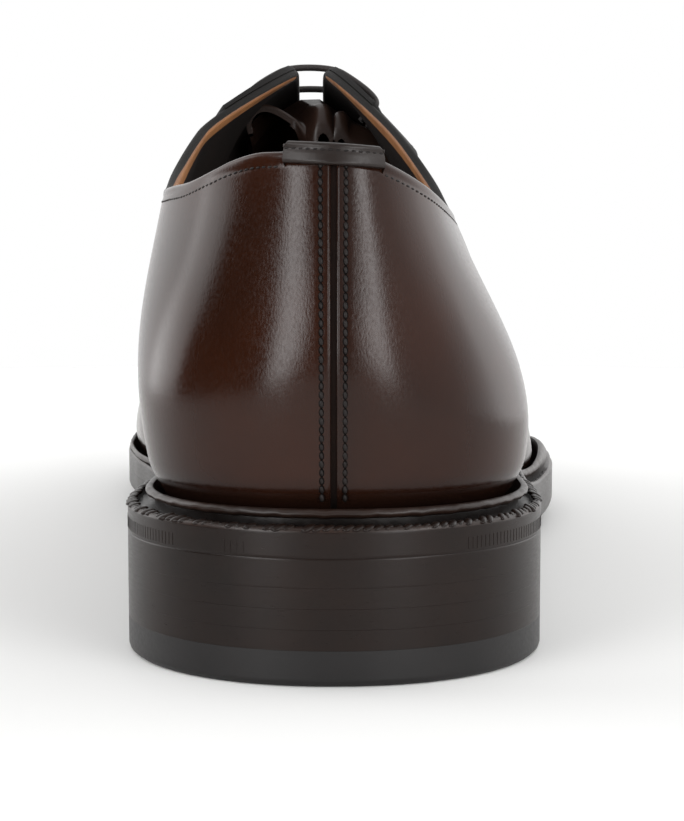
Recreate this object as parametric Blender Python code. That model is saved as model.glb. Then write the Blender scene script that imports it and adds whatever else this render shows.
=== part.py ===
"""A right derby dress shoe, made as a shoemaker's pieces: heel, sole, welt, insole, upper,
facings, tongue, tab and lace.

Metres, +Z up. +Y runs from heel to toe and +X to the little-toe side. Tables are in millimetres.
Stations number the rows of SECTIONS: 0 is the back seam, the last is the toe tip, and both sides share them.
"""

import math
from collections import namedtuple

import bmesh
import bpy
import numpy as np
from mathutils import Matrix, Vector

MM = 0.001

# Sole and heel
SOLE_LENGTH = 306.0
HEEL_ROUND = 36.0
HEEL_SQUARE = 2.1
TOE_ROUND = 54.0
TOE_SQUARE = 2.25
HEEL_BREAST = 74.0
TOP_PIECE_THICK = 5.8
LIFT_COUNT = 3
LIFT_THICK = 3.1
OUTSOLE_THICK = 4.5
SHANK_END = 168.0
TREAD_END = 212.0
TOE_SPRING = 11.0
TREAD_FLAT = 0.45
EDGE_RISE = 4.0
EDGE_RISE_START = 125.0
TOP_PIECE_BEVEL = 1.6
INSOLE_THICK = 3.0
GAP = 0.3

# Welt
WELT_REACH_HEEL = 7.2
WELT_REACH_BALL = 5.3
WELT_EDGE = 4.8
WELT_RIDGE_HEEL = 1.1
WELT_RIDGE_BALL = 0.6
WELT_RIDGE_SLOPE = 0.45
WELT_GROOVE = 0.9
BEAD_HIGH = 3.0
BEAD_THICK_HEEL = 1.6
BEAD_THICK_BALL = 0.8
BEAD_GAP = 0.48

# Upper and what is on it
WALL = 2.2
QUARTER_STEP = 0.9
QUARTER_STATION = 7.0
STEP_RUN = 0.025
SECTION_ROWS = 11
EYESTAY_THICK = 0.9
EYESTAY_GAP = 0.42
EYESTAY_BACK = 4.3
EYESTAY_FRONT = 6.86
TAB_HALF = 0.44
TAB_DROP = 0.038
TAB_THICK = 1.1
TONGUE_THICK = 1.8
TONGUE_ROOM = 1.7
TONGUE_END = 5.03
TONGUE_ROOT = 7.7
TONGUE_SPREAD_ROOT = 0.17
TONGUE_SPREAD_END = 0.20
TONGUE_MIDDLE = 0.985
LACE_RADIUS = 1.05
LACE_CLEAR = 0.45
EYELET_RADIUS = 2.0
EYELET_SET_IN = 0.125
EYELET_SIDES = 12
PIN_LENGTH = 12.0
EYELET_STATIONS = (5.24, 5.56, 5.88, 6.2, 6.52)
LACE_SIDESTEP = 0.032
LACE_TURN_RUN = 0.028
LACE_TURN_DROP = 0.6
LACE_OVER_SHARES = (0.95, 0.995)

# Lacing from one end to the other: each bar's row, the side where it comes out, the row that its
# far end runs on to inside, and the side to which that run steps aside (towards the throat is 1)
Bar = namedtuple("Bar", "row side next_row sidestep")
LACING = (
    Bar(0, "lateral", 2, -1),
    Bar(2, "medial", 4, 1),
    Bar(4, "lateral", 3, 0),
    Bar(3, "medial", 1, -1),
    Bar(1, "lateral", 0, 1),
)

HEEL_HIGH = TOP_PIECE_THICK + LIFT_COUNT * (LIFT_THICK + GAP) + GAP

# Depth of the facing below its edge, as a share of the section
Facing = namedtuple("Facing", "station depth")
FACING = (
    Facing(4.2, 0.07),
    Facing(4.55, 0.17),
    Facing(4.95, 0.24),
    Facing(6.2, 0.26),
    Facing(6.7, 0.22),
    Facing(6.9, 0.10),
)

# Sole outline: distance from the heel's end, middle of the width, half the width
Plan = namedtuple("Plan", "y centre half")
PLAN = (
    Plan(0, 0.0, 36.5),
    Plan(36, 0.0, 36.5),
    Plan(76, 1.5, 35.4),
    Plan(110, 3.4, 37.2),
    Plan(145, 4.4, 43.4),
    Plan(172, 3.2, 50.3),
    Plan(190, 1.6, 53.7),
    Plan(208, -0.7, 55.0),
    Plan(232, -4.1, 53.0),
    Plan(256, -6.5, 48.4),
    Plan(282, -8.2, 43.4),
    Plan(306, -9.0, 39.0),
)

# Upper's sections from the welt up to the topline, the facing edge or the ridge of the vamp.
# edge_y: where the section starts along the sole; top_y, x and z: where it ends; flare and rise: its
# lean in degrees where it starts (outward of upright) and ends (above level); low and high: how far
# each lean carries, as shares of its length.
Section = namedtuple(
    "Section",
    "edge_y top_y x_medial x_lateral z_medial z_lateral flare_medial flare_lateral rise_medial rise_lateral"
    " low_medial low_lateral high",
)
SECTIONS = (
    Section(0, 8.0, 0.0, 0.0, 86.5, 86.5, 15, 15, 74, 74, 0.45, 0.45, 0.35),
    Section(None, 18.0, -18.5, 15.2, 84.4, 80.9, 17, 20, 78, 74, 0.48, 0.48, 0.34),
    Section(36, 44.0, -30.4, 21.0, 80.8, 76.3, 19, 28, 80, 72, 0.50, 0.50, 0.33),
    Section(62, 66.0, -31.0, 19.3, 84.0, 81.8, 15, 22, 80, 70, 0.48, 0.44, 0.33),
    Section(86, 92.0, -27.8, 11.6, 93.2, 93.8, 8, 9, 64, 66, 0.42, 0.34, 0.34),
    Section(110, 130.0, -8.9, -1.7, 107.2, 107.2, 3, 4, 28, 36, 0.36, 0.30, 0.36),
    Section(134, 156.0, -8.6, -3.2, 95.8, 95.8, 3, 5, 12, 12, 0.40, 0.36, 0.36),
    Section(160, 184.0, -6.2, -6.2, 81.2, 81.2, 26, 38, 0, 0, 0.46, 0.28, 0.36),
    Section(194, 208.0, -6.6, -6.6, 69.2, 69.2, 42, 58, 0, 0, 0.43, 0.20, 0.36),
    Section(226, 232.0, -7.4, -7.4, 59.8, 59.8, 42, 48, 0, 0, 0.42, 0.28, 0.37),
    Section(252, 252.0, -8.0, -8.0, 53.8, 53.8, 28, 26, 0, 0, 0.47, 0.42, 0.38),
    Section(None, 266.0, -8.5, -8.5, 50.2, 50.2, 11, 11, 0, 0, 0.55, 0.55, 0.38),
    Section(None, 275.0, -8.8, -8.8, 48.0, 48.0, 10, 10, 0, 0, 0.55, 0.55, 0.38),
    Section(306, 279.0, -9.0, -9.0, 47.0, 47.0, 10, 10, 0, 0, 0.55, 0.55, 0.38),
)
LAST = len(SECTIONS) - 1
HEEL_ROWS = 2
TOE_ROWS = 3
SIGN = {"medial": -1.0, "lateral": 1.0}
OTHER = {"medial": "lateral", "lateral": "medial"}

# Surface of each piece: colour (sRGB) and roughness
LOOKS = {
    "calf": ((0.24, 0.13, 0.09), 0.28),
    "edge": ((0.15, 0.11, 0.09), 0.35),
    "rubber": ((0.13, 0.12, 0.12), 0.55),
    "insole": ((0.62, 0.45, 0.30), 0.60),
    "cotton": ((0.09, 0.06, 0.05), 0.60),
}


def through(knots, values):
    """Smooth curve through the knots that does not overshoot between them."""
    knots = np.array(knots, dtype=float)
    values = np.array(values, dtype=float)
    run = np.diff(knots)
    rate = np.diff(values) / run
    slope = np.zeros(len(values))
    slope[0] = rate[0]
    slope[-1] = rate[-1]
    for i in range(1, len(values) - 1):
        if rate[i - 1] * rate[i] > 0.0:
            back = 2.0 * run[i] + run[i - 1]
            ahead = run[i] + 2.0 * run[i - 1]
            slope[i] = (back + ahead) / (back / rate[i - 1] + ahead / rate[i])

    def at(x):
        i = min(max(int(np.searchsorted(knots, x)) - 1, 0), len(run) - 1)
        t = (x - knots[i]) / run[i]
        start = (1.0 + 2.0 * t) * (1.0 - t) ** 2 * values[i] + t * (1.0 - t) ** 2 * run[i] * slope[i]
        end = t * t * (3.0 - 2.0 * t) * values[i + 1] + t * t * (t - 1.0) * run[i] * slope[i + 1]
        return float(start + end)

    return at


def column(field, side):
    """Curve of a SECTIONS column over the stations, carried past both ends onto the other side."""
    own = [getattr(row, f"{field}_{side}", None) for row in SECTIONS]
    far = [getattr(row, f"{field}_{OTHER[side]}", None) for row in SECTIONS]
    if own[0] is None:
        own = [getattr(row, field) for row in SECTIONS]
        far = own
    values = [far[2], far[1]] + own + [far[LAST - 1], far[LAST - 2]]
    return through(range(-2, LAST + 3), values)


PAIRED = ("x", "z", "flare", "rise", "low")
SHARED = ("top_y", "high")
CURVES = {side: {field: column(field, side) for field in PAIRED + SHARED} for side in SIGN}
CENTRE = through([row.y for row in PLAN], [row.centre for row in PLAN])
HALF = through([row.y for row in PLAN], [row.half for row in PLAN])
RUN_ROWS = range(HEEL_ROWS, LAST - TOE_ROWS + 1)
EDGE_Y = through(RUN_ROWS, [SECTIONS[i].edge_y for i in RUN_ROWS])
PLAN_STEPS = np.linspace(HEEL_ROUND, SOLE_LENGTH - TOE_ROUND, 200)
SHIFT_X = 0.5 * (
    max(CENTRE(y) + HALF(y) for y in PLAN_STEPS) + min(CENTRE(y) - HALF(y) for y in PLAN_STEPS)
)
ORIGIN = np.array((SHIFT_X, SOLE_LENGTH / 2.0, 0.0))


def ease(x, start, end):
    """Share from 0 at start to 1 at end, level at both."""
    t = min(max((x - start) / (end - start), 0.0), 1.0)
    return t * t * (3.0 - 2.0 * t)


def edge(station, side):
    """Point of the sole's outline at a station: round of the heel, side, or round of the toe."""
    if station < 0.0:
        return edge(-station, OTHER[side])
    if station > LAST:
        return edge(2.0 * LAST - station, OTHER[side])
    if station < HEEL_ROWS:
        turn = station / HEEL_ROWS * math.pi / 2.0
        y = HEEL_ROUND * (1.0 - math.cos(turn) ** (2.0 / HEEL_SQUARE))
        width = math.sin(turn) ** (2.0 / HEEL_SQUARE)
    elif station > LAST - TOE_ROWS:
        turn = (station - LAST + TOE_ROWS) / TOE_ROWS * math.pi / 2.0
        y = SOLE_LENGTH - TOE_ROUND * (1.0 - math.sin(turn) ** (2.0 / TOE_SQUARE))
        width = max(math.cos(turn), 0.0) ** (2.0 / TOE_SQUARE)
    else:
        y = EDGE_Y(station)
        width = 1.0
    return np.array((CENTRE(y) + SIGN[side] * HALF(y) * width, y))


def outward(station, side):
    """Unit direction out of the sole's outline, in plan."""
    step = 0.02
    along = edge(station + step, side) - edge(station - step, side)
    along = along / np.linalg.norm(along)
    return np.array((along[1], -along[0])) * SIGN[side]


def tread(x, y):
    """Height of the outsole's underside: level heel, falling arch, level tread, toe spring."""
    arch = HEEL_HIGH * (1.0 - ease(y, HEEL_BREAST - 2.0, SHANK_END))
    spring = TOE_SPRING * max((y - TREAD_END) / (SOLE_LENGTH - TREAD_END), 0.0) ** 2
    share = abs(x - CENTRE(y)) / HALF(y)
    side = EDGE_RISE * (max(share - TREAD_FLAT, 0.0) / (1.0 - TREAD_FLAT)) ** 2
    return arch + spring + side * ease(y, EDGE_RISE_START, SHANK_END)


def towards_ball(heel, ball, station):
    """A size of the welt that changes from heel to ball."""
    return heel + (ball - heel) * ease(station, 3.0, 7.0)


def welt_reach(station):
    """How far the sole's edge stands out from the foot of the upper."""
    return towards_ball(WELT_REACH_HEEL, WELT_REACH_BALL, station)


def foot(station, side, inset=0.0):
    """Foot of the upper on the outsole, or a point inset from it towards the middle."""
    x, y = edge(station, side) - outward(station, side) * (welt_reach(station) + inset)
    return np.array((x, y, tread(x, y) + OUTSOLE_THICK + GAP))


def top(station, side):
    """End of the section: on the topline, the facing's edge or the vamp's ridge."""
    curves = CURVES[side]
    x = curves["x"](station)
    if station > QUARTER_STATION:
        x = 0.5 * (x + CURVES[OTHER[side]]["x"](station))
    return np.array((x, curves["top_y"](station), curves["z"](station)))


def skin(station, side, share):
    """Point of the upper's outer surface, share 0 at the welt to 1 at the section's end."""
    curves = CURVES[side]
    low = foot(station, side)
    high = top(station, side)
    out = np.append(outward(station, side), 0.0)
    up = np.array((0.0, 0.0, 1.0))
    flare = math.radians(curves["flare"](station))
    rise = math.radians(curves["rise"](station))
    step = 0.05
    ridge = top(min(station + step, LAST), side) - top(station - step, side)
    fall = ridge[2] / ridge[1] if abs(ridge[1]) > 1e-6 else 0.0
    tilt = fall * -out[1] * math.cos(rise) * ease(station, 4.5, 5.5)
    arrive = -out * math.cos(rise) + up * (math.sin(rise) + tilt)
    leave = up * math.cos(flare) + out * math.sin(flare)
    handle_low = low + leave * curves["low"](station) * (high[2] - low[2])
    handle_high = high - arrive * curves["high"](station) * np.linalg.norm(high - low)
    t = share
    return (
        (1.0 - t) ** 3 * low
        + 3.0 * t * (1.0 - t) ** 2 * handle_low
        + 3.0 * t * t * (1.0 - t) * handle_high
        + t**3 * high
    )


def skin_normal(station, side, share):
    """Outward unit normal of the upper's outer surface."""
    step = 0.01
    if station > LAST - step:
        share = min(share, 1.0 - step)
    along = skin(station + step, side, share) - skin(station - step, side, share)
    rise = skin(station, side, min(share + step, 1.0)) - skin(station, side, max(share - step, 0.0))
    normal = np.cross(along, rise) * SIGN[side]
    return normal / np.linalg.norm(normal)


def off_skin(station, side, share, out):
    """Point a distance out of (or, when negative, inside) the upper's outer surface."""
    normal = skin_normal(station, side, share)
    if share == 1.0 and station >= QUARTER_STATION:
        normal = normal + skin_normal(station, OTHER[side], share)
        normal = normal / np.linalg.norm(normal)
    return skin(station, side, share) + normal * out


def spaced(start, end, per_row):
    """Stations from start to end, the same number in each row of the table."""
    return list(np.linspace(start, end, int(round((end - start) * per_row)) + 1))


STATIONS = spaced(0, HEEL_ROWS, 4)
STATIONS += spaced(HEEL_ROWS, LAST - TOE_ROWS, 3)[1:]
STATIONS += spaced(LAST - TOE_ROWS, LAST, 4)[1:]
HEEL_STATION = 2.0 + (HEEL_BREAST - SECTIONS[2].edge_y) / (SECTIONS[3].edge_y - SECTIONS[2].edge_y)
UPPER_STATIONS = sorted(STATIONS + [QUARTER_STATION + STEP_RUN])


def add_object(name, look, verts, faces):
    """Object of a mesh in millimetres, welded, with outward faces and its own material."""
    mesh = bpy.data.meshes.new(name)
    mesh.from_pydata([tuple((np.array(v) - ORIGIN) * MM) for v in verts], [], faces)
    work = bmesh.new()
    work.from_mesh(mesh)
    bmesh.ops.remove_doubles(work, verts=work.verts, dist=1e-6)
    bmesh.ops.recalc_face_normals(work, faces=work.faces)
    work.to_mesh(mesh)
    work.free()
    item = bpy.data.objects.new(name, mesh)
    bpy.context.scene.collection.objects.link(item)
    item.data.materials.append(material(name, look))
    return item


def material(name, look):
    """Principled material of a piece."""
    colour, roughness = LOOKS[look]
    made = bpy.data.materials.new(f"{name}_{look}")
    made.use_nodes = True
    shader = made.node_tree.nodes["Principled BSDF"]
    shader.inputs["Base Color"].default_value = (*[c**2.2 for c in colour], 1.0)
    shader.inputs["Roughness"].default_value = roughness
    return made


def block(rows_low, rows_high):
    """Vertices and faces of a solid between two grids of the same size."""
    count = len(rows_low)
    width = len(rows_low[0])
    verts = [p for row in rows_low for p in row] + [p for row in rows_high for p in row]
    lift = count * width
    faces = []
    for i in range(count - 1):
        k = i + 1
        for j in range(width - 1):
            quad = (i * width + j, k * width + j, k * width + j + 1, i * width + j + 1)
            faces.append(quad)
            faces.append(tuple(lift + v for v in reversed(quad)))
        for j in (0, width - 1):
            faces.append((i * width + j, k * width + j, lift + k * width + j, lift + i * width + j))
    for i in (0, count - 1):
        for j in range(width - 1):
            a = i * width + j
            faces.append((a, a + 1, lift + a + 1, lift + a))
    return verts, faces


def ring(sections):
    """Vertices and faces of a tube through sections of the same number of points, its ends open."""
    width = len(sections[0])
    verts = [p for section in sections for p in section]
    faces = []
    for i in range(len(sections) - 1):
        for j in range(width):
            k = (j + 1) % width
            faces.append((i * width + j, i * width + k, (i + 1) * width + k, (i + 1) * width + j))
    return verts, faces


def loop_stations(stations):
    """Stations all the way round the shoe: up the medial side, then back down the lateral side."""
    there = [(u, "medial") for u in stations]
    back = [(u, "lateral") for u in reversed(stations[1:-1])]
    return there + back


def heel_layer(name, look, low, high, bevel=0.0):
    """Slab of the heel between two heights, cut straight across at the breast."""
    stations = spaced(0.0, HEEL_STATION, 4)
    outline = [(u, "lateral") for u in reversed(stations)] + [(u, "medial") for u in stations[1:]]

    def rim(z, inset):
        points = [edge(u, side) - outward(u, side) * inset for u, side in outline]
        return [(x, y, z) for x, y in points]

    levels = [rim(low, bevel)]
    if bevel:
        levels.append(rim(low + bevel, 0.0))
    levels.append(rim(high, 0.0))
    count = len(outline)
    verts = [p for level in levels for p in level]
    faces = [tuple(range(count)), tuple(range(count * (len(levels) - 1), count * len(levels)))]
    for i in range(len(levels) - 1):
        for j in range(count):
            k = (j + 1) % count
            faces.append((i * count + j, i * count + k, (i + 1) * count + k, (i + 1) * count + j))
    add_object(name, look, verts, faces)


def make_heel():
    """Rubber top piece and the leather lifts above it."""
    heel_layer("top_piece", "rubber", 0.0, TOP_PIECE_THICK, TOP_PIECE_BEVEL)
    z = TOP_PIECE_THICK + GAP
    for i in range(LIFT_COUNT):
        heel_layer(f"heel_lift_{i + 1}", "edge", z, z + LIFT_THICK)
        z += LIFT_THICK + GAP


def make_outsole():
    """Outsole: strips across the foot from edge to edge, the underside following the tread."""
    shares = (0.0, 0.07, 0.16, 0.275, 0.725, 0.84, 0.93, 1.0)
    low = []
    high = []
    for u in STATIONS[1:-1]:
        left = edge(u, "medial")
        right = edge(u, "lateral")
        row = [left + (right - left) * share for share in shares]
        low.append([(x, y, tread(x, y)) for x, y in row])
        high.append([(x, y, tread(x, y) + OUTSOLE_THICK) for x, y in row])
    for end in (0, LAST):
        x, y = edge(end, "medial")
        point = (x, y, tread(x, y))
        place = 0 if end == 0 else len(low)
        low.insert(place, [point] * len(shares))
        high.insert(place, [(x, y, point[2] + OUTSOLE_THICK)] * len(shares))
    verts, faces = block(low, high)
    add_object("outsole", "edge", verts, faces)


def make_insole():
    """Insole on the outsole, inside the upper's wall."""
    shares = (0.0, 0.25, 0.75, 1.0)
    low = []
    high = []
    for u in STATIONS:
        inset = WALL + QUARTER_STEP * ease(u, QUARTER_STATION - 0.5, QUARTER_STATION) + 3.0 * GAP
        left = foot(u, "medial", inset)
        right = foot(u, "lateral", inset)
        row = [left + (right - left) * share for share in shares]
        base = [(p[0], p[1], tread(p[0], p[1]) + OUTSOLE_THICK + GAP) for p in row]
        low.append(base)
        high.append([(x, y, z + INSOLE_THICK) for x, y, z in base])
    verts, faces = block(low, high)
    add_object("insole", "insole", verts, faces)


def welt_section(station, side):
    """Welt's section at a station: foot, edge, wheeled shelf, groove, and the bead leaning on the upper."""
    base = foot(station, side)
    out = np.append(outward(station, side), 0.0)
    near = [skin(station, side, share) - base for share in np.linspace(0.0, 0.4, 14)]
    heights = [p[2] for p in near]
    reaches = [float(np.dot(p, out)) for p in near]
    edge_out = welt_reach(station)
    bead = towards_ball(BEAD_THICK_HEEL, BEAD_THICK_BALL, station)
    ridge = towards_ball(WELT_RIDGE_HEEL, WELT_RIDGE_BALL, station)

    def wall(height):
        return float(np.interp(height, heights, reaches)) + BEAD_GAP

    crest = WELT_EDGE + BEAD_HIGH
    profile = (
        (edge_out, 0.0),
        (edge_out, WELT_EDGE),
        (edge_out - ridge, WELT_EDGE),
        (edge_out - ridge * (1.0 + WELT_RIDGE_SLOPE), WELT_EDGE - WELT_GROOVE),
        (wall(WELT_EDGE) + bead, WELT_EDGE - WELT_GROOVE),
        (wall(WELT_EDGE + 0.5 * BEAD_HIGH) + bead, WELT_EDGE + 0.4 * BEAD_HIGH),
        (wall(crest) + 0.5 * bead, crest),
        (wall(crest), crest - 0.25 * bead),
        (wall(WELT_EDGE), WELT_EDGE),
        (wall(0.0), 0.0),
    )
    points = []
    for reach, height in profile:
        x, y, z = base + out * reach
        shelf = height == 0.0 or (height <= WELT_EDGE and reach > wall(WELT_EDGE) + 0.5 * bead)
        points.append((x, y, (tread(x, y) + OUTSOLE_THICK + GAP if shelf else z) + height))
    return points


def make_welt():
    """Storm welt as a closed ring round the foot of the upper."""
    sections = [welt_section(u, side) for u, side in loop_stations(STATIONS)]
    verts, faces = ring(sections + sections[:1])
    add_object("welt", "edge", verts, faces)


def lift_at(station):
    """Height of the outer surface over its base: the quarters lie over the vamp."""
    return 0.0 if station <= QUARTER_STATION else -QUARTER_STEP


def eyelet_cutters():
    """Pins that punch the eyelets, one across each facing at each lace row."""
    pins = []
    for side in SIGN:
        for station in EYELET_STATIONS:
            share = 1.0 - EYELET_SET_IN
            normal = skin_normal(station, side, share)
            middle = (skin(station, side, share) - ORIGIN) * MM
            work = bmesh.new()
            bmesh.ops.create_cone(
                work,
                cap_ends=True,
                segments=EYELET_SIDES,
                radius1=EYELET_RADIUS * MM,
                radius2=EYELET_RADIUS * MM,
                depth=PIN_LENGTH * MM,
            )
            turn = Vector((0.0, 0.0, 1.0)).rotation_difference(Vector(normal)).to_matrix().to_4x4()
            bmesh.ops.transform(work, matrix=Matrix.Translation(Vector(middle)) @ turn, verts=work.verts)
            mesh = bpy.data.meshes.new("eyelet_pin")
            work.to_mesh(mesh)
            work.free()
            pin = bpy.data.objects.new("eyelet_pin", mesh)
            bpy.context.scene.collection.objects.link(pin)
            pin.hide_render = True
            pin.display_type = "WIRE"
            pins.append(pin)
    return pins


def punch(item, pins):
    """Cuts the pins out of a piece."""
    for pin in pins:
        cut = item.modifiers.new("eyelet", "BOOLEAN")
        cut.operation = "DIFFERENCE"
        cut.solver = "EXACT"
        cut.object = pin


def make_upper(pins):
    """Upper: the outer surface of both sides, welded at back seam and ridge, given its wall inward."""
    shares = np.linspace(0.0, 1.0, SECTION_ROWS)
    verts = []
    faces = []
    for side in SIGN:
        start = len(verts)
        for u in UPPER_STATIONS:
            verts += [off_skin(u, side, share, lift_at(u)) for share in shares]
        for i in range(len(UPPER_STATIONS) - 1):
            for j in range(SECTION_ROWS - 1):
                a = start + i * SECTION_ROWS + j
                faces.append((a, a + SECTION_ROWS, a + SECTION_ROWS + 1, a + 1))
    upper = add_object("upper", "calf", verts, faces)
    wall = upper.modifiers.new("wall", "SOLIDIFY")
    wall.thickness = WALL * MM
    wall.offset = -1.0
    punch(upper, pins)


def make_eyestay(side, pins):
    """Facing over the quarter, from its edge at the lace down to a curved lower edge."""
    depth = through([row.station for row in FACING], [row.depth for row in FACING])
    low = []
    high = []
    for u in spaced(EYESTAY_BACK, EYESTAY_FRONT, 7):
        shares = np.linspace(1.0 - depth(u), 1.0, 5)
        low.append([off_skin(u, side, share, EYESTAY_GAP) for share in shares])
        high.append([off_skin(u, side, share, EYESTAY_GAP + EYESTAY_THICK) for share in shares])
    verts, faces = block(low, high)
    eyestay = add_object(f"eyestay_{side}", "calf", verts, faces)
    punch(eyestay, pins)


def make_tab():
    """Tab at the back, folded over the topline: outer flap, fold and a longer inner flap."""
    sections = []
    spots = [(u, "medial") for u in np.linspace(TAB_HALF, 0.0, 4)]
    spots += [(u, "lateral") for u in np.linspace(0.0, TAB_HALF, 4)[1:]]
    for u, side in spots:
        rim = skin(u, side, 1.0)
        up = rim - skin(u, side, 0.98)
        up = up / np.linalg.norm(up)
        inside = -(WALL + GAP)
        sections.append(
            [
                off_skin(u, side, 1.0 - TAB_DROP, GAP),
                off_skin(u, side, 1.0 - TAB_DROP, GAP + TAB_THICK),
                off_skin(u, side, 1.0, GAP + TAB_THICK),
                off_skin(u, side, 1.0, 0.0) + up * (GAP + TAB_THICK),
                off_skin(u, side, 1.0, -WALL) + up * (GAP + TAB_THICK),
                off_skin(u, side, 1.0, inside - TAB_THICK),
                off_skin(u, side, 1.0 - 2.0 * TAB_DROP, inside - TAB_THICK),
                off_skin(u, side, 1.0 - 2.0 * TAB_DROP, inside),
                off_skin(u, side, 1.0, inside) + up * GAP,
                off_skin(u, side, 1.0, GAP) + up * GAP,
            ]
        )
    verts, faces = ring(sections)
    width = len(sections[0])
    faces += [tuple(range(width)), tuple(range(width * (len(sections) - 1), width * len(sections)))]
    add_object("heel_tab", "calf", verts, faces)


def tongue_depth(station):
    """How far the tongue's outer face lies inside the upper's outer surface."""
    under_vamp = WALL + QUARTER_STEP + 2.0 * GAP
    return under_vamp + TONGUE_ROOM * (1.0 - ease(station, 6.5, 7.1))


def make_tongue():
    """Tongue under the facings: from under the vamp up to an end that droops into the shoe."""
    low = []
    high = []
    for u in spaced(TONGUE_END, TONGUE_ROOT, 6):
        widen = 1.0 - ease(u, TONGUE_END, TONGUE_ROOT)
        spread = TONGUE_SPREAD_ROOT + (TONGUE_SPREAD_END - TONGUE_SPREAD_ROOT) * widen
        sides = [("medial", share) for share in np.linspace(1.0 - spread, TONGUE_MIDDLE, 5)]
        sides += [("lateral", share) for share in np.linspace(TONGUE_MIDDLE, 1.0 - spread, 5)]
        depth = tongue_depth(u)
        high.append([off_skin(u, side, share, -depth) for side, share in sides])
        low.append([off_skin(u, side, share, -depth - TONGUE_THICK) for side, share in sides])
    verts, faces = block(low, high)
    add_object("tongue", "calf", verts, faces)


def lace_route():
    """Points of the lace: bars over the facings, runs between rows inside, ends at the top eyelets."""
    share = 1.0 - EYELET_SET_IN
    over = EYESTAY_GAP + EYESTAY_THICK + LACE_CLEAR + LACE_RADIUS
    under = -(WALL + LACE_CLEAR + LACE_RADIUS)
    route = []
    for bar in LACING:
        station = EYELET_STATIONS[bar.row]
        far = OTHER[bar.side]
        over_shares = (share + LACE_TURN_RUN, *LACE_OVER_SHARES)
        route += [off_skin(station, bar.side, share, level) for level in (under, 0.0, over - LACE_TURN_DROP)]
        route += [off_skin(station, bar.side, s, over) for s in over_shares]
        route += [off_skin(station, far, s, over) for s in reversed(over_shares)]
        route += [off_skin(station, far, share, level) for level in (over - LACE_TURN_DROP, 0.0, under)]
        stations = np.linspace(station, EYELET_STATIONS[bar.next_row], 5)[1:-1]
        route += [off_skin(u, far, share + LACE_SIDESTEP * bar.sidestep, under) for u in stations]
    return route


def rounded(points, passes):
    """Path with its corners cut, the ends kept."""
    for _ in range(passes):
        cut = [points[0]]
        for here, there in zip(points[:-1], points[1:]):
            cut += [here * 0.75 + there * 0.25, here * 0.25 + there * 0.75]
        points = cut + [points[-1]]
    return points


def make_lace():
    """Lace as one tube along its route, waxed round cord."""
    points = rounded(lace_route(), 1)
    sides = 5
    sections = []
    across = None
    for i, point in enumerate(points):
        along = points[min(i + 1, len(points) - 1)] - points[max(i - 1, 0)]
        along = along / np.linalg.norm(along)
        if across is None:
            across = np.cross(along, (0.0, 0.0, 1.0))
        across = across - along * np.dot(across, along)
        across = across / np.linalg.norm(across)
        other = np.cross(along, across)
        turns = [2.0 * math.pi * k / sides for k in range(sides)]
        sections.append([point + (across * math.cos(t) + other * math.sin(t)) * LACE_RADIUS for t in turns])
    verts, faces = ring(sections)
    faces += [tuple(range(sides)), tuple(range(sides * (len(sections) - 1), sides * len(sections)))]
    add_object("lace", "cotton", verts, faces)


def main():
    """Builds the shoe in an empty scene."""
    for item in list(bpy.data.objects):
        bpy.data.objects.remove(item, do_unlink=True)
    pins = eyelet_cutters()
    make_heel()
    make_outsole()
    make_welt()
    make_insole()
    make_upper(pins)
    for side in SIGN:
        make_eyestay(side, pins)
    make_tongue()
    make_tab()
    make_lace()


main()
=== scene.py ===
"""Dresses a right derby shoe: calf upper, storm welt, stacked heel, lace and stitching, in a white studio.

Sizes are millimetres on the last until a piece is made: the heel's end is at y 0, +Y runs to the toe and
+X to the little toe. A place on the upper is (way, share). The way runs round the shoe, from the medial side
of the toe over the back seam, where it is 0, to the lateral side, and its whole numbers are the rows of
SECTIONS. The share runs from the welt, 0, up to the topline, the facing's edge or the ridge of the vamp, 1.
"""

import logging
import math
from collections.abc import Sequence
from dataclasses import dataclass, field
from enum import Enum
from typing import Any, NamedTuple

import bmesh
import bpy
import numpy as np
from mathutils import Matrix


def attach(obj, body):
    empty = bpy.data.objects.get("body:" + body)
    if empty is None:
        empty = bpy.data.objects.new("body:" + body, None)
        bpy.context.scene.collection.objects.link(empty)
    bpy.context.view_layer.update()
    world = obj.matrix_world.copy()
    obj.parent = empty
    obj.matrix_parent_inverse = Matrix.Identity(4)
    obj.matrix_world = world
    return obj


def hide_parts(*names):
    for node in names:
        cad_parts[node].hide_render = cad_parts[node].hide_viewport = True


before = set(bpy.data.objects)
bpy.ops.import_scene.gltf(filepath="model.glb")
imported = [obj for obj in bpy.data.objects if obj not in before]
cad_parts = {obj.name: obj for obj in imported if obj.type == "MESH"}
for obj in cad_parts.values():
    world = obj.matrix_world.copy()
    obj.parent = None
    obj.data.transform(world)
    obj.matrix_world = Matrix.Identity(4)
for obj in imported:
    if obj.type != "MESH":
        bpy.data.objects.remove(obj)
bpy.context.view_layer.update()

Array = np.ndarray
LOG = logging.getLogger("derby")
MM = 0.001
WELD = 0.002 * MM
BODY = "root"
UP = np.array((0.0, 0.0, 1.0))


class Plan(NamedTuple):
    """Row of the sole's outline: distance from the heel's end, middle of the width, half the width."""

    y: float
    centre: float
    half: float


class Section(NamedTuple):
    """Row of the upper: a section's start and end, its lean there in degrees, how far each lean carries."""

    edge_y: float | None
    top_y: float
    x_medial: float
    x_lateral: float
    z_medial: float
    z_lateral: float
    flare_medial: float
    flare_lateral: float
    rise_medial: float
    rise_lateral: float
    low_medial: float
    low_lateral: float
    high: float


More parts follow.
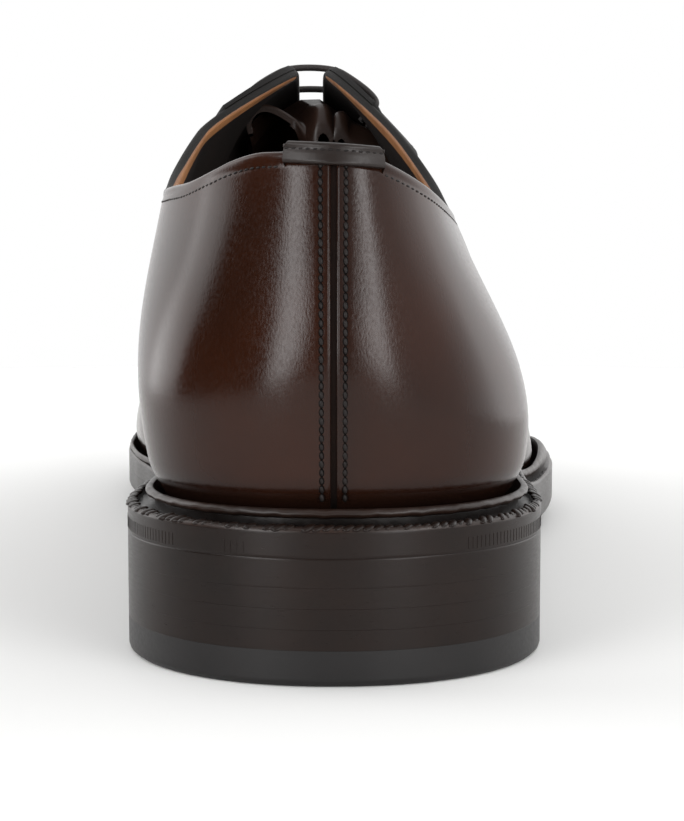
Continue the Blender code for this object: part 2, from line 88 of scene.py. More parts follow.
PLAN = (
    Plan(0, 0.0, 36.5),
    Plan(36, 0.0, 36.5),
    Plan(76, 1.5, 35.4),
    Plan(110, 3.4, 37.2),
    Plan(145, 4.4, 43.4),
    Plan(172, 3.2, 50.3),
    Plan(190, 1.6, 53.7),
    Plan(208, -0.7, 55.0),
    Plan(232, -4.1, 53.0),
    Plan(256, -6.5, 48.4),
    Plan(282, -8.2, 43.4),
    Plan(306, -9.0, 39.0),
)
SECTIONS = (
    Section(0, 8.0, 0.0, 0.0, 86.5, 86.5, 15, 15, 74, 74, 0.45, 0.45, 0.35),
    Section(None, 18.0, -18.5, 15.2, 84.4, 80.9, 17, 20, 78, 74, 0.48, 0.48, 0.34),
    Section(36, 44.0, -30.4, 21.0, 80.8, 76.3, 19, 28, 80, 72, 0.50, 0.50, 0.33),
    Section(62, 66.0, -31.0, 19.3, 84.0, 81.8, 15, 22, 80, 70, 0.48, 0.44, 0.33),
    Section(86, 92.0, -27.8, 11.6, 93.2, 93.8, 8, 9, 64, 66, 0.42, 0.34, 0.34),
    Section(110, 130.0, -8.9, -1.7, 108.1, 108.1, 3, 4, 28, 36, 0.36, 0.30, 0.36),
    Section(134, 156.0, -8.6, -3.2, 95.8, 95.8, 3, 5, 12, 12, 0.40, 0.36, 0.36),
    Section(160, 184.0, -6.2, -6.2, 81.2, 81.2, 26, 30, 0, 0, 0.46, 0.28, 0.36),
    Section(194, 208.0, -6.6, -6.6, 69.2, 69.2, 42, 50, 0, 0, 0.43, 0.20, 0.36),
    Section(226, 232.0, -7.4, -7.4, 59.8, 59.8, 42, 48, 0, 0, 0.42, 0.28, 0.37),
    Section(252, 252.0, -8.0, -8.0, 53.8, 53.8, 28, 26, 0, 0, 0.47, 0.42, 0.38),
    Section(None, 266.0, -8.5, -8.5, 50.2, 50.2, 11, 11, 0, 0, 0.55, 0.55, 0.38),
    Section(None, 275.0, -8.8, -8.8, 48.0, 48.0, 10, 10, 0, 0, 0.55, 0.55, 0.38),
    Section(306, 279.0, -9.0, -9.0, 47.0, 47.0, 10, 10, 0, 0, 0.55, 0.55, 0.38),
)


class Dent(NamedTuple):
    """Soft hump or hollow of the upper: its middle, how far it spreads along and up, and its height."""

    way: float
    share: float
    wide: float
    tall: float
    out: float


DENTS = (
    Dent(5.0, 0.80, 0.45, 0.14, -1.0),
    Dent(3.9, 1.00, 0.50, 0.06, 0.5),
    Dent(7.35, 0.25, 0.60, 0.14, -0.7),
)
TOE = len(SECTIONS) - 1
HEEL_ROWS = 2
TOE_ROWS = 3


class Side(Enum):
    """Side of the shoe, as the sign of the way round it."""

    MEDIAL = -1
    LATERAL = 1


class Bit(Enum):
    """Small shape that a row repeats, as the node that makes it."""

    PILL = "GeometryNodeMeshIcoSphere"
    BLOCK = "GeometryNodeMeshCube"


def ease(x: Array | float, start: float, end: float) -> Array:
    """Share from 0 at start to 1 at end, level at both."""
    t = np.clip((np.asarray(x, dtype=float) - start) / (end - start), 0.0, 1.0)
    return t * t * (3.0 - 2.0 * t)


def swell(x: Array, middle: float, width: float) -> Array:
    """Soft hump of height 1 about a middle."""
    return np.exp(-(((x - middle) / width) ** 2))


def unit(v: Array) -> Array:
    """Vectors scaled to length 1."""
    return v / np.linalg.norm(v, axis=-1, keepdims=True)


def cut_corners(points: Array) -> Array:
    """Rounds a line by cutting its corners, with its ends kept.

    Args:
        points: Points of the line.

    Returns:
        Points of the rounder line.
    """
    first = points[:-1] * 0.75 + points[1:] * 0.25
    second = points[:-1] * 0.25 + points[1:] * 0.75
    cut = np.stack((first, second), 1).reshape(-1, points.shape[1])
    return np.concatenate((points[:1], cut, points[-1:]))


class Smooth:
    """Smooth curve through knots that doesn't overshoot between them."""

    def __init__(self, knots: Sequence[float], values: Sequence[float]) -> None:
        """Works out the slope at each knot.

        Args:
            knots: Places of the knots, rising.
            values: Values there.
        """
        self.knots = np.array(knots, dtype=float)
        self.values = np.array(values, dtype=float)
        self.run = np.diff(self.knots)
        rate = np.diff(self.values) / self.run
        back = 2.0 * self.run[1:] + self.run[:-1]
        ahead = self.run[1:] + 2.0 * self.run[:-1]
        same = rate[:-1] * rate[1:] > 0.0
        safe = np.where(rate == 0.0, 1.0, rate)
        middle = (back + ahead) / (back / safe[:-1] + ahead / safe[1:])
        self.slope = np.concatenate((rate[:1], np.where(same, middle, 0.0), rate[-1:]))

    def __call__(self, x: Array | float) -> Array:
        """Values at x.

        Args:
            x: Places along the curve.

        Returns:
            The curve's values.
        """
        x = np.asarray(x, dtype=float)
        i = np.clip(np.searchsorted(self.knots, x) - 1, 0, len(self.run) - 1)
        t = (x - self.knots[i]) / self.run[i]
        start = (1.0 + 2.0 * t) * self.values[i] + t * self.run[i] * self.slope[i]
        end = (3.0 - 2.0 * t) * self.values[i + 1] + (t - 1.0) * self.run[i] * self.slope[i + 1]
        return (1.0 - t) ** 2 * start + t * t * end


@dataclass
class Last:
    """Shape that the shoe is made on: the sole's outline and tread, and the upper's outer surface."""

    sole_length: float = 306.0
    heel_round: float = 36.0
    heel_square: float = 2.1
    toe_round: float = 54.0
    toe_square: float = 2.25
    heel_breast: float = 74.0
    heel_high: float = 16.3
    shank_end: float = 168.0
    tread_end: float = 212.0
    toe_spring: float = 11.0
    tread_flat: float = 0.45
    edge_rise: float = 4.0
    edge_rise_start: float = 125.0
    outsole_thick: float = 4.5
    gap: float = 0.3
    reach_heel: float = 7.2
    reach_ball: float = 5.3
    quarter_end: float = 7.0
    ball_from: float = 3.0
    ball_to: float = 7.0
    tilt_from: float = 4.5
    tilt_to: float = 5.5
    curves: dict[str, Smooth] = field(init=False)
    centre: Smooth = field(init=False)
    half: Smooth = field(init=False)
    edge_y: Smooth = field(init=False)
    origin: Array = field(init=False)

    def __post_init__(self) -> None:
        """Makes the curves through the tables, and the frame's origin on the last."""
        ways = range(-TOE - 2, TOE + 3)
        names = ("top_y", "x", "z", "flare", "rise", "low", "high")
        self.curves = {name: Smooth(ways, [self.cell(name, way) for way in ways]) for name in names}
        self.centre = Smooth([row.y for row in PLAN], [row.centre for row in PLAN])
        self.half = Smooth([row.y for row in PLAN], [row.half for row in PLAN])
        rows = range(HEEL_ROWS, TOE - TOE_ROWS + 1)
        self.edge_y = Smooth(rows, [SECTIONS[i].edge_y for i in rows])
        y = np.linspace(self.heel_round, self.sole_length - self.toe_round, 200)
        widest = (self.centre(y) + self.half(y)).max(), (self.centre(y) - self.half(y)).min()
        self.origin = np.array((sum(widest) / 2.0, self.sole_length / 2.0, 0.0))

    @staticmethod
    def cell(name: str, way: int) -> float:
        """Value of a SECTIONS column at a whole way, carried past the toe onto the other side.

        Args:
            name: Column, without its side.
            way: Whole way round the shoe.

        Returns:
            The value.
        """
        if abs(way) > TOE:
            way = way - int(math.copysign(2 * TOE, way))
        row = SECTIONS[abs(way)]
        side = "medial" if way < 0 else "lateral"
        return getattr(row, f"{name}_{side}" if hasattr(row, f"{name}_{side}") else name)

    def to_frame(self, points: Array) -> Array:
        """Points of the last in the frame's metres."""
        return (points - self.origin) * MM

    def edge(self, way: Array) -> Array:
        """Sole's outline in plan: round of the heel, side, round of the toe.

        Args:
            way: Ways round the shoe.

        Returns:
            Points, x and y.
        """
        way = np.asarray(way, dtype=float)
        way = np.where(np.abs(way) > TOE, way - np.copysign(2.0 * TOE, way), way)
        station = np.abs(way)
        heel = np.clip(station / HEEL_ROWS, 0.0, 1.0) * math.pi / 2.0
        toe = np.clip((station - TOE + TOE_ROWS) / TOE_ROWS, 0.0, 1.0) * math.pi / 2.0
        heel_y = self.heel_round * (1.0 - np.cos(heel) ** (2.0 / self.heel_square))
        toe_y = self.sole_length - self.toe_round * (1.0 - np.sin(toe) ** (2.0 / self.toe_square))
        y = self.edge_y(np.clip(station, HEEL_ROWS, TOE - TOE_ROWS))
        y = np.where(station < HEEL_ROWS, heel_y, np.where(station > TOE - TOE_ROWS, toe_y, y))
        heel_width = np.sin(heel) ** (2.0 / self.heel_square)
        width = heel_width * np.maximum(np.cos(toe), 0.0) ** (2.0 / self.toe_square)
        return np.stack((self.centre(y) + np.sign(way) * self.half(y) * width, y), -1)

    def outward(self, way: Array) -> Array:
        """Unit direction out of the sole's outline, level.

        Args:
            way: Ways round the shoe.

        Returns:
            Vectors of length 1.
        """
        step = 0.02
        along = unit(self.edge(np.asarray(way) + step) - self.edge(np.asarray(way) - step))
        return np.stack((along[..., 1], -along[..., 0], np.zeros(along.shape[:-1])), -1)

    def tread(self, x: Array, y: Array) -> Array:
        """Height of the outsole's underside: level heel, falling arch, level tread, toe spring.

        Args:
            x: Places across the shoe.
            y: Places along it.

        Returns:
            Heights over the floor.
        """
        arch = self.heel_high * (1.0 - ease(y, self.heel_breast - 2.0, self.shank_end))
        spring = np.maximum((y - self.tread_end) / (self.sole_length - self.tread_end), 0.0) ** 2
        share = np.abs(x - self.centre(y)) / self.half(y)
        side = (np.maximum(share - self.tread_flat, 0.0) / (1.0 - self.tread_flat)) ** 2
        lift = self.edge_rise * side * ease(y, self.edge_rise_start, self.shank_end)
        return arch + self.toe_spring * spring + lift

    def towards_ball(self, heel: float, ball: float, way: Array) -> Array:
        """A size that changes from the heel to the ball."""
        return heel + (ball - heel) * ease(np.abs(way), self.ball_from, self.ball_to)

    def reach(self, way: Array) -> Array:
        """How far the sole's edge stands out from the foot of the upper."""
        return self.towards_ball(self.reach_heel, self.reach_ball, way)

    def rim(self, way: Array, inset: Array | float, lift: Array | float) -> Array:
        """Point inset from the sole's edge, at a height over the tread there.

        Args:
            way: Ways round the shoe.
            inset: Distance in from the edge.
            lift: Height over the tread.

        Returns:
            Points.
        """
        plan = self.edge(way) - self.outward(way)[..., :2] * np.asarray(inset)[..., None]
        z = self.tread(plan[..., 0], plan[..., 1]) + lift
        return np.concatenate((plan, z[..., None]), -1)

    def foot(self, way: Array, inset: float = 0.0) -> Array:
        """Foot of the upper on the outsole, or a point inset from it."""
        return self.rim(way, self.reach(way) + inset, self.outsole_thick + self.gap)

    def top(self, way: Array) -> Array:
        """End of the section: on the topline, the facing's edge or the vamp's ridge.

        Args:
            way: Ways round the shoe.

        Returns:
            Points.
        """
        x = self.curves["x"](way)
        both = 0.5 * (x + self.curves["x"](-way))
        x = np.where(np.abs(way) > self.quarter_end, both, x)
        return np.stack((x, self.curves["top_y"](way), self.curves["z"](way)), -1)

    def skin(self, way: Array, share: Array) -> Array:
        """Point of the upper's outer surface.

        Args:
            way: Ways round the shoe.
            share: Shares up the section.

        Returns:
            Points.
        """
        way, share = np.broadcast_arrays(np.asarray(way, float), np.asarray(share, float))
        low = self.foot(way)
        high = self.top(way)
        out = self.outward(way)
        flare = np.radians(self.curves["flare"](way))[..., None]
        rise = np.radians(self.curves["rise"](way))[..., None]
        step = 0.05
        station = np.abs(way)
        sign = np.where(way < 0.0, -1.0, 1.0)
        ridge = self.top(np.minimum(station + step, TOE) * sign) - self.top((station - step) * sign)
        level = np.abs(ridge[..., 1]) < 1e-6
        fall = np.where(level, 0.0, ridge[..., 2] / np.where(level, 1.0, ridge[..., 1]))
        tilt = (fall * -out[..., 1] * ease(station, self.tilt_from, self.tilt_to))[..., None] * np.cos(rise)
        arrive = -out * np.cos(rise) + UP * (np.sin(rise) + tilt)
        leave = UP * np.cos(flare) + out * np.sin(flare)
        height = (high - low)[..., 2:]
        chord = np.linalg.norm(high - low, axis=-1, keepdims=True)
        handle_low = low + leave * self.curves["low"](way)[..., None] * height
        handle_high = high - arrive * self.curves["high"](way)[..., None] * chord
        t = share[..., None]
        start = (1.0 - t) ** 3 * low + 3.0 * t * (1.0 - t) ** 2 * handle_low
        plain = start + 3.0 * t * t * (1.0 - t) * handle_high + t**3 * high
        dents = [d.out * swell(way, d.way, d.wide) * swell(share, d.share, d.tall) for d in DENTS]
        return plain + out * np.sum(dents, 0)[..., None]

    def lean(self, way: Array, share: Array) -> Array:
        """Unit direction along the surface towards the section's end.

        Args:
            way: Ways round the shoe.
            share: Shares up the section.

        Returns:
            Vectors of length 1.
        """
        step = 0.01
        ahead = np.minimum(np.asarray(share) + step, 1.0)
        return unit(self.skin(way, ahead) - self.skin(way, ahead - 2.0 * step))

    def half_normal(self, way: Array, share: Array) -> Array:
        """Outward unit normal of one side's surface.

        Args:
            way: Ways round the shoe.
            share: Shares up the section.

        Returns:
            Vectors of length 1.
        """
        step = 0.01
        way, share = np.broadcast_arrays(np.asarray(way, float), np.asarray(share, float))
        way = np.clip(way, step - TOE, TOE - step)
        along = self.skin(way + step, share) - self.skin(way - step, share)
        rise = self.skin(way, np.minimum(share + step, 1.0)) - self.skin(way, np.maximum(share - step, 0.0))
        return unit(np.cross(along, rise))

    def normal(self, way: Array, share: Array) -> Array:
        """Outward unit normal, shared by both sides along the vamp's ridge.

        Args:
            way: Ways round the shoe.
            share: Shares up the section.

        Returns:
            Vectors of length 1.
        """
        way, share = np.broadcast_arrays(np.asarray(way, float), np.asarray(share, float))
        own = self.half_normal(way, share)
        ridge = (share > 0.9999) & (np.abs(way) >= self.quarter_end)
        return np.where(ridge[..., None], unit(own + self.half_normal(-way, share)), own)

    def off(self, way: Array, share: Array, out: Array | float) -> Array:
        """Point at a distance out of the upper's outer surface."""
        return self.skin(way, share) + self.normal(way, share) * np.asarray(out)[..., None]

    def share_below(self, way: Array, distance: Array | float) -> Array:
        """Share that lies a distance below the section's end.

        Args:
            way: Ways round the shoe.
            distance: Distance in millimetres along the surface.

        Returns:
            Shares.
        """
        step = 0.03
        way = np.asarray(way, float)
        rate = np.linalg.norm(self.skin(way, 1.0) - self.skin(way, 1.0 - step), axis=-1) / step
        return 1.0 - distance / rate

    def below(self, way: Array, share: Array) -> Array:
        """Distance in millimetres from a share up to the section's end."""
        return (1.0 - share) / (1.0 - self.share_below(way, 1.0))


LAST = Last()


def linear(code: str) -> tuple[float, float, float, float]:
    """Linear colour of an sRGB hex code.

    Args:
        code: Colour such as "#3b2016".

    Returns:
        Red, green, blue and an alpha of 1.
    """
    parts = [int(code[i : i + 2], 16) / 255.0 for i in (1, 3, 5)]
    red, green, blue = [c / 12.92 if c <= 0.04045 else ((c + 0.055) / 1.055) ** 2.4 for c in parts]
    return red, green, blue, 1.0


def node(
    tree: bpy.types.NodeTree, kind: str, inputs: dict[Any, Any] | None = None, **settings: Any
) -> bpy.types.Node:
    """Adds a node with its settings, values and links.

    Args:
        tree: Tree that gets the node.
        kind: The node's type.
        inputs: Values or output sockets, by the input's name or number.
        settings: Properties of the node itself.

    Returns:
        The new node.
    """
    made = tree.nodes.new(kind)
    for name, value in settings.items():
        setattr(made, name, value)
    for key, value in (inputs or {}).items():
        if isinstance(value, bpy.types.NodeSocket):
            tree.links.new(value, made.inputs[key])
        else:
            made.inputs[key].default_value = value
    return made


def per_metre(size: float) -> float:
    """Texture scale whose features are about a size in millimetres."""
    return 1.0 / (size * MM)


@dataclass(frozen=True)
class Finish:
    """A real material: two tones that cloud into each other, a relief and a gloss, sizes in millimetres."""

    name: str
    tone: str
    deep: str
    edge: str
    cloud: float
    grain: float
    relief: float
    rough: float
    rough_spread: float
    stretch: tuple[float, float, float] = (1.0, 1.0, 1.0)
    sheen: float = 0.0
    specular: float = 0.5
    ior: float = 1.5
    detail: float = 5.0

    def material(self) -> bpy.types.Material:
        """Builds the node material, with the edge's darkening, real ink and painted shade, read from the
        piece's own attribute.

        Returns:
            The material.
        """
        made = bpy.data.materials.new(self.name)
        made.use_nodes = True
        tree = made.node_tree
        shader = tree.nodes["Principled BSDF"]
        place = node(tree, "ShaderNodeTexCoord").outputs["Object"]
        cloud = node(
            tree, "ShaderNodeTexNoise", {"Vector": place, "Scale": per_metre(self.cloud), "Detail": 4.0}
        )
        soft = node(
            tree, "ShaderNodeMapRange", {"Value": cloud.outputs["Fac"], "From Min": 0.3, "From Max": 0.7}
        )
        tone = self.mix(tree, soft.outputs["Result"], linear(self.tone), linear(self.deep))
        # Darkens towards the edge colour: real ink at cut edges, and painted shade over the welt, on the
        # medial flank, in the welt's groove and on the tab.
        dye_and_shade = node(tree, "ShaderNodeAttribute", attribute_name="dye_and_shade")
        colour = self.mix(tree, dye_and_shade.outputs["Fac"], tone, linear(self.edge))
        tree.links.new(colour, shader.inputs["Base Color"])
        drawn = node(tree, "ShaderNodeMapping", {"Vector": place, "Scale": self.stretch})
        fibre = node(
            tree,
            "ShaderNodeTexNoise",
            {
                "Vector": drawn.outputs["Vector"],
                "Scale": per_metre(self.grain),
                "Detail": self.detail,
                "Roughness": 0.6,
            },
        )
        rough = node(
            tree,
            "ShaderNodeMapRange",
            {
                "Value": fibre.outputs["Fac"],
                "From Min": 0.25,
                "From Max": 0.75,
                "To Min": self.rough - self.rough_spread,
                "To Max": self.rough + self.rough_spread,
            },
        )
        tree.links.new(rough.outputs["Result"], shader.inputs["Roughness"])
        bump = node(
            tree,
            "ShaderNodeBump",
            {"Height": fibre.outputs["Fac"], "Strength": 1.0, "Distance": self.relief * MM},
        )
        tree.links.new(bump.outputs["Normal"], shader.inputs["Normal"])
        shader.inputs["Sheen Weight"].default_value = self.sheen
        shader.inputs["Specular IOR Level"].default_value = self.specular
        shader.inputs["IOR"].default_value = self.ior
        return made

    @staticmethod
    def mix(tree: bpy.types.NodeTree, share: Any, first: Any, second: Any) -> bpy.types.NodeSocket:
        """Colour between two others.

        Args:
            tree: The material's tree.
            share: Share of the second colour, a value or a socket.
            first: First colour, a value or a socket.
            second: Second colour, a value or a socket.

        Returns:
            The mixed colour.
        """
        made = node(tree, "ShaderNodeMix", data_type="RGBA")
        for number, value in ((0, share), (6, first), (7, second)):
            if isinstance(value, bpy.types.NodeSocket):
                tree.links.new(value, made.inputs[number])
            else:
                made.inputs[number].default_value = value
        return made.outputs[2]


# Polished box calf: aniline brown under wax, so a deep body colour, a clear gloss and a fine grain in it
CALF = Finish(
    "polished_calf",
    tone="#30170c",
    deep="#23110a",
    edge="#0e0907",
    cloud=26.0,
    grain=0.34,
    relief=0.014,
    rough=0.18,
    rough_spread=0.08,
    stretch=(1.0, 1.0, 0.45),
    specular=0.25,
    detail=1.5,
)
# Burnished calf: the facings, dyed darker and rubbed down, so dull at a low angle
BURNISHED = Finish(
    "burnished_calf",
    tone="#20120b",
    deep="#170d08",
    edge="#0c0807",
    cloud=14.0,
    grain=0.5,
    relief=0.01,
    rough=0.55,
    rough_spread=0.05,
    specular=0.15,
)
# Tongue calf: the same skin, less polished
SOFT_CALF = Finish(
    "soft_calf",
    tone="#2c1d17",
    deep="#1f1510",
    edge="#15100e",
    cloud=14.0,
    grain=0.6,
    relief=0.02,
    rough=0.36,
    rough_spread=0.06,
    specular=0.35,
)
# Edge ink: the cut edge of collar and facings, black and dull; a deeper band of it on the lateral collar is
# partly painted shade
INK = Finish(
    "edge_ink",
    tone="#14110f",
    deep="#0d0b0a",
    edge="#0d0b0a",
    cloud=5.0,
    grain=0.5,
    relief=0.04,
    rough=0.7,
    rough_spread=0.06,
    specular=0.2,
)
# Waxed sole leather: fibres lie level in the layers, black-brown edge ink burnished with wax
EDGE_WAX = Finish(
    "waxed_sole_leather",
    tone="#1a0f0a",
    deep="#120a07",
    edge="#080504",
    cloud=12.0,
    grain=1.2,
    relief=0.012,
    rough=0.32,
    rough_spread=0.06,
    stretch=(0.5, 0.5, 5.0),
    specular=0.23,
)
# Waxed welt: the same leather with less ink, so browner
WELT_WAX = Finish(
    "waxed_welt",
    tone="#291b15",
    deep="#1d130f",
    edge="#080504",
    cloud=6.0,
    grain=0.8,
    relief=0.03,
    rough=0.34,
    rough_spread=0.06,
    specular=0.35,
)
# Heel rubber: moulded and dull, more neutral than the leather over it
RUBBER = Finish(
    "heel_rubber",
    tone="#171414",
    deep="#121010",
    edge="#0e0c0c",
    cloud=9.0,
    grain=0.8,
    relief=0.02,
    rough=0.42,
    rough_spread=0.06,
    specular=0.35,
)
# Vegetable-tanned lining: pale natural leather, open and dull
LINING = Finish(
    "tan_lining",
    tone="#a57145",
    deep="#8a5c3a",
    edge="#4d2e1d",
    cloud=6.0,
    grain=0.7,
    relief=0.03,
    rough=0.6,
    rough_spread=0.06,
)
# Dyed lining below the strip: dull dark suede side
DARK_LINING = Finish(
    "dark_lining",
    tone="#1b1411",
    deep="#130e0c",
    edge="#0c0908",
    cloud=8.0,
    grain=0.5,
    relief=0.04,
    rough=0.8,
    rough_spread=0.05,
    specular=0.2,
)
# Insole leather: undyed, smoothed by hand, so pale and even
INSOLE = Finish(
    "insole_leather",
    tone="#a9764c",
    deep="#946540",
    edge="#5d3d26",
    cloud=14.0,
    grain=0.7,
    relief=0.03,
    rough=0.55,
    rough_spread=0.06,
)
# Waxed cotton: braided lace, matt with a faint sheen
COTTON = Finish(
    "waxed_cotton",
    tone="#201714",
    deep="#171110",
    edge="#120d0c",
    cloud=3.0,
    grain=0.35,
    relief=0.08,
    rough=0.6,
    rough_spread=0.08,
    sheen=0.15,
)
# Waxed linen thread: dark, each stitch round enough to catch the light
THREAD = Finish(
    "waxed_thread",
    tone="#191311",
    deep="#120d0c",
    edge="#0c0908",
    cloud=2.0,
    grain=0.25,
    relief=0.03,
    rough=0.55,
    rough_spread=0.06,
    specular=0.25,
)
# Turned seam: the flesh side of the calf at the bottom of the back seam, dark brown and dull
SEAM = Finish(
    "seam_calf",
    tone="#1f130e",
    deep="#170e0a",
    edge="#0c0807",
    cloud=5.0,
    grain=0.5,
    relief=0.02,
    rough=0.85,
    rough_spread=0.04,
    specular=0.1,
)
# Awl holes: painted shade, the dark that shows in the holes between two stitches
HOLE_SHADE = Finish(
    "awl_hole_shade",
    tone="#0a0706",
    deep="#070504",
    edge="#050403",
    cloud=2.0,
    grain=0.3,
    relief=0.0,
    rough=0.9,
    rough_spread=0.02,
    specular=0.1,
)


class Wardrobe:
    """Materials by finish, each made once."""

    def __init__(self) -> None:
        """Starts empty."""
        self.made: dict[str, bpy.types.Material] = {}

    def __getitem__(self, finish: Finish) -> bpy.types.Material:
        """Material of a finish.

        Args:
            finish: The finish.

        Returns:
            Its material.
        """
        if finish.name not in self.made:
            self.made[finish.name] = finish.material()
        return self.made[finish.name]


WARDROBE = Wardrobe()


class Draft:
    """A piece being made: points in millimetres, faces, each face's finish and each point's darkening, edge
    ink on some pieces and painted shade on others.
    """

    def __init__(self) -> None:
        """Starts with nothing."""
        self.points: list[Array] = []
        self.dyes_and_shades: list[Array] = []
        self.faces: list[Array] = []
        self.slots: list[Array] = []
        self.count = 0

    def place(self, grid: Array, dye_and_shade: Array | float = 0.0) -> Array:
        """Adds points.

        Args:
            grid: Points in any layout, the last axis holding x, y and z.
            dye_and_shade: Share of darkening on each point, edge ink on some pieces and painted shade on
                others.

        Returns:
            The points' numbers in the same layout.
        """
        shape = grid.shape[:-1]
        numbers = np.arange(self.count, self.count + math.prod(shape)).reshape(shape)
        self.points.append(grid.reshape(-1, 3))
        self.dyes_and_shades.append(np.broadcast_to(dye_and_shade, shape).ravel())
        self.count += numbers.size
        return numbers

    def cover(self, numbers: Array, slot: Array | int = 0) -> None:
        """Adds the quads of a grid, which look along the cross product of its two directions.

        Args:
            numbers: Numbers of the grid's points.
            slot: Finish of all its faces, or of each.
        """
        corners = np.stack((numbers[:-1, :-1], numbers[1:, :-1], numbers[1:, 1:], numbers[:-1, 1:]), -1)
        self.faces.append(corners.reshape(-1, 4))
        self.slots.append(np.broadcast_to(slot, corners.shape[:2]).ravel())

    def bridge(self, first: Array, second: Array, slot: int = 0) -> None:
        """Adds a strip of quads between two rows of points."""
        self.cover(np.stack((first, second), -1), slot)

    def fan(self, row: Array, flip: bool = False, slot: int = 0) -> None:
        """Closes a row of points with quads from its first half to its second.

        Args:
            row: Numbers of the points.
            flip: Whether the quads look the other way.
            slot: Their finish.
        """
        half = len(row) // 2
        there = row[:half]
        back = row[::-1][:half]
        if flip:
            there, back = back, there
        self.bridge(there, back, slot)

    def shell(
        self, outer: Array, inner: Array, slot: Array | int = 0, low: bool = True, high: bool = True
    ) -> None:
        """Closes a wall between two grids.

        Args:
            outer: Numbers of the outer grid, along then across.
            inner: Numbers of the inner grid.
            slot: Finish of all its faces, or of each of the outer ones.
            low: Whether the first row across is closed.
            high: Whether the last row across is closed.
        """
        self.cover(outer, slot)
        slot = int(np.max(slot))
        self.cover(inner[:, ::-1], slot)
        if low:
            self.bridge(inner[:, 0], outer[:, 0], slot)
        if high:
            self.bridge(outer[:, -1], inner[:, -1], slot)
        self.bridge(outer[0], inner[0], slot)
        self.bridge(inner[-1], outer[-1], slot)

    def finish(self, name: str, *finishes: Finish, sharp: float = 50.0) -> bpy.types.Object:
        """Makes the piece.

        Args:
            name: The piece's name.
            finishes: Its finishes, in the order of the slots.
            sharp: Angle in degrees above which an edge stays sharp.

        Returns:
            The piece, in the scene.
        """
        mesh = bpy.data.meshes.new(name)
        points = LAST.to_frame(np.concatenate(self.points))
        mesh.from_pydata(points.tolist(), [], np.concatenate(self.faces).tolist())
        mesh.polygons.foreach_set("material_index", np.concatenate(self.slots))
        dye_and_shade = mesh.attributes.new("dye_and_shade", "FLOAT", "POINT")
        dye_and_shade.data.foreach_set("value", np.concatenate(self.dyes_and_shades).astype(np.float32))
        work = bmesh.new()
        work.from_mesh(mesh)
        bmesh.ops.remove_doubles(work, verts=work.verts, dist=WELD)
        bmesh.ops.dissolve_degenerate(work, edges=work.edges, dist=WELD)
        work.to_mesh(mesh)
        work.free()
        for finish in finishes:
            mesh.materials.append(WARDROBE[finish])
        mesh.shade_smooth()
        mesh.set_sharp_from_angle(angle=math.radians(sharp))
        piece = bpy.data.objects.new(name, mesh)
        bpy.context.scene.collection.objects.link(piece)
        return piece


def settle(piece: bpy.types.Object, slot: str, *nodes: str) -> bpy.types.Object:
    """Rides a piece on the shoe, hides the nodes that it stands for, and reports it.

    Args:
        piece: Finished piece.
        slot: Not used.
        nodes: Nodes that the piece stands for.

    Returns:
        The same piece.
    """
    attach(piece, BODY)
    if nodes:
        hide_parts(*nodes)
    LOG.info("%s: %d faces", piece.name, len(piece.data.polygons))
    return piece


def evaluated(piece: bpy.types.Object) -> None:
    """Turns a piece's modifiers into plain mesh.

    Args:
        piece: Piece with modifiers.
    """
    graph = bpy.context.evaluated_depsgraph_get()
    mesh = bpy.data.meshes.new_from_object(piece.evaluated_get(graph))
    piece.modifiers.clear()
    old = piece.data
    piece.data = mesh
    mesh.name = piece.name
    bpy.data.meshes.remove(old)


class Row(NamedTuple):
    """Line on a surface: points, and the way the surface faces there."""

    points: Array
    facing: Array


@dataclass(frozen=True)
class Pattern:
    """What a row repeats: step along the line, and the bit's length along it, width across and height."""

    bit: Bit
    pitch: float
    length: float
    width: float
    height: float
    slant: float = 0.0
    jitter: float = 0.0


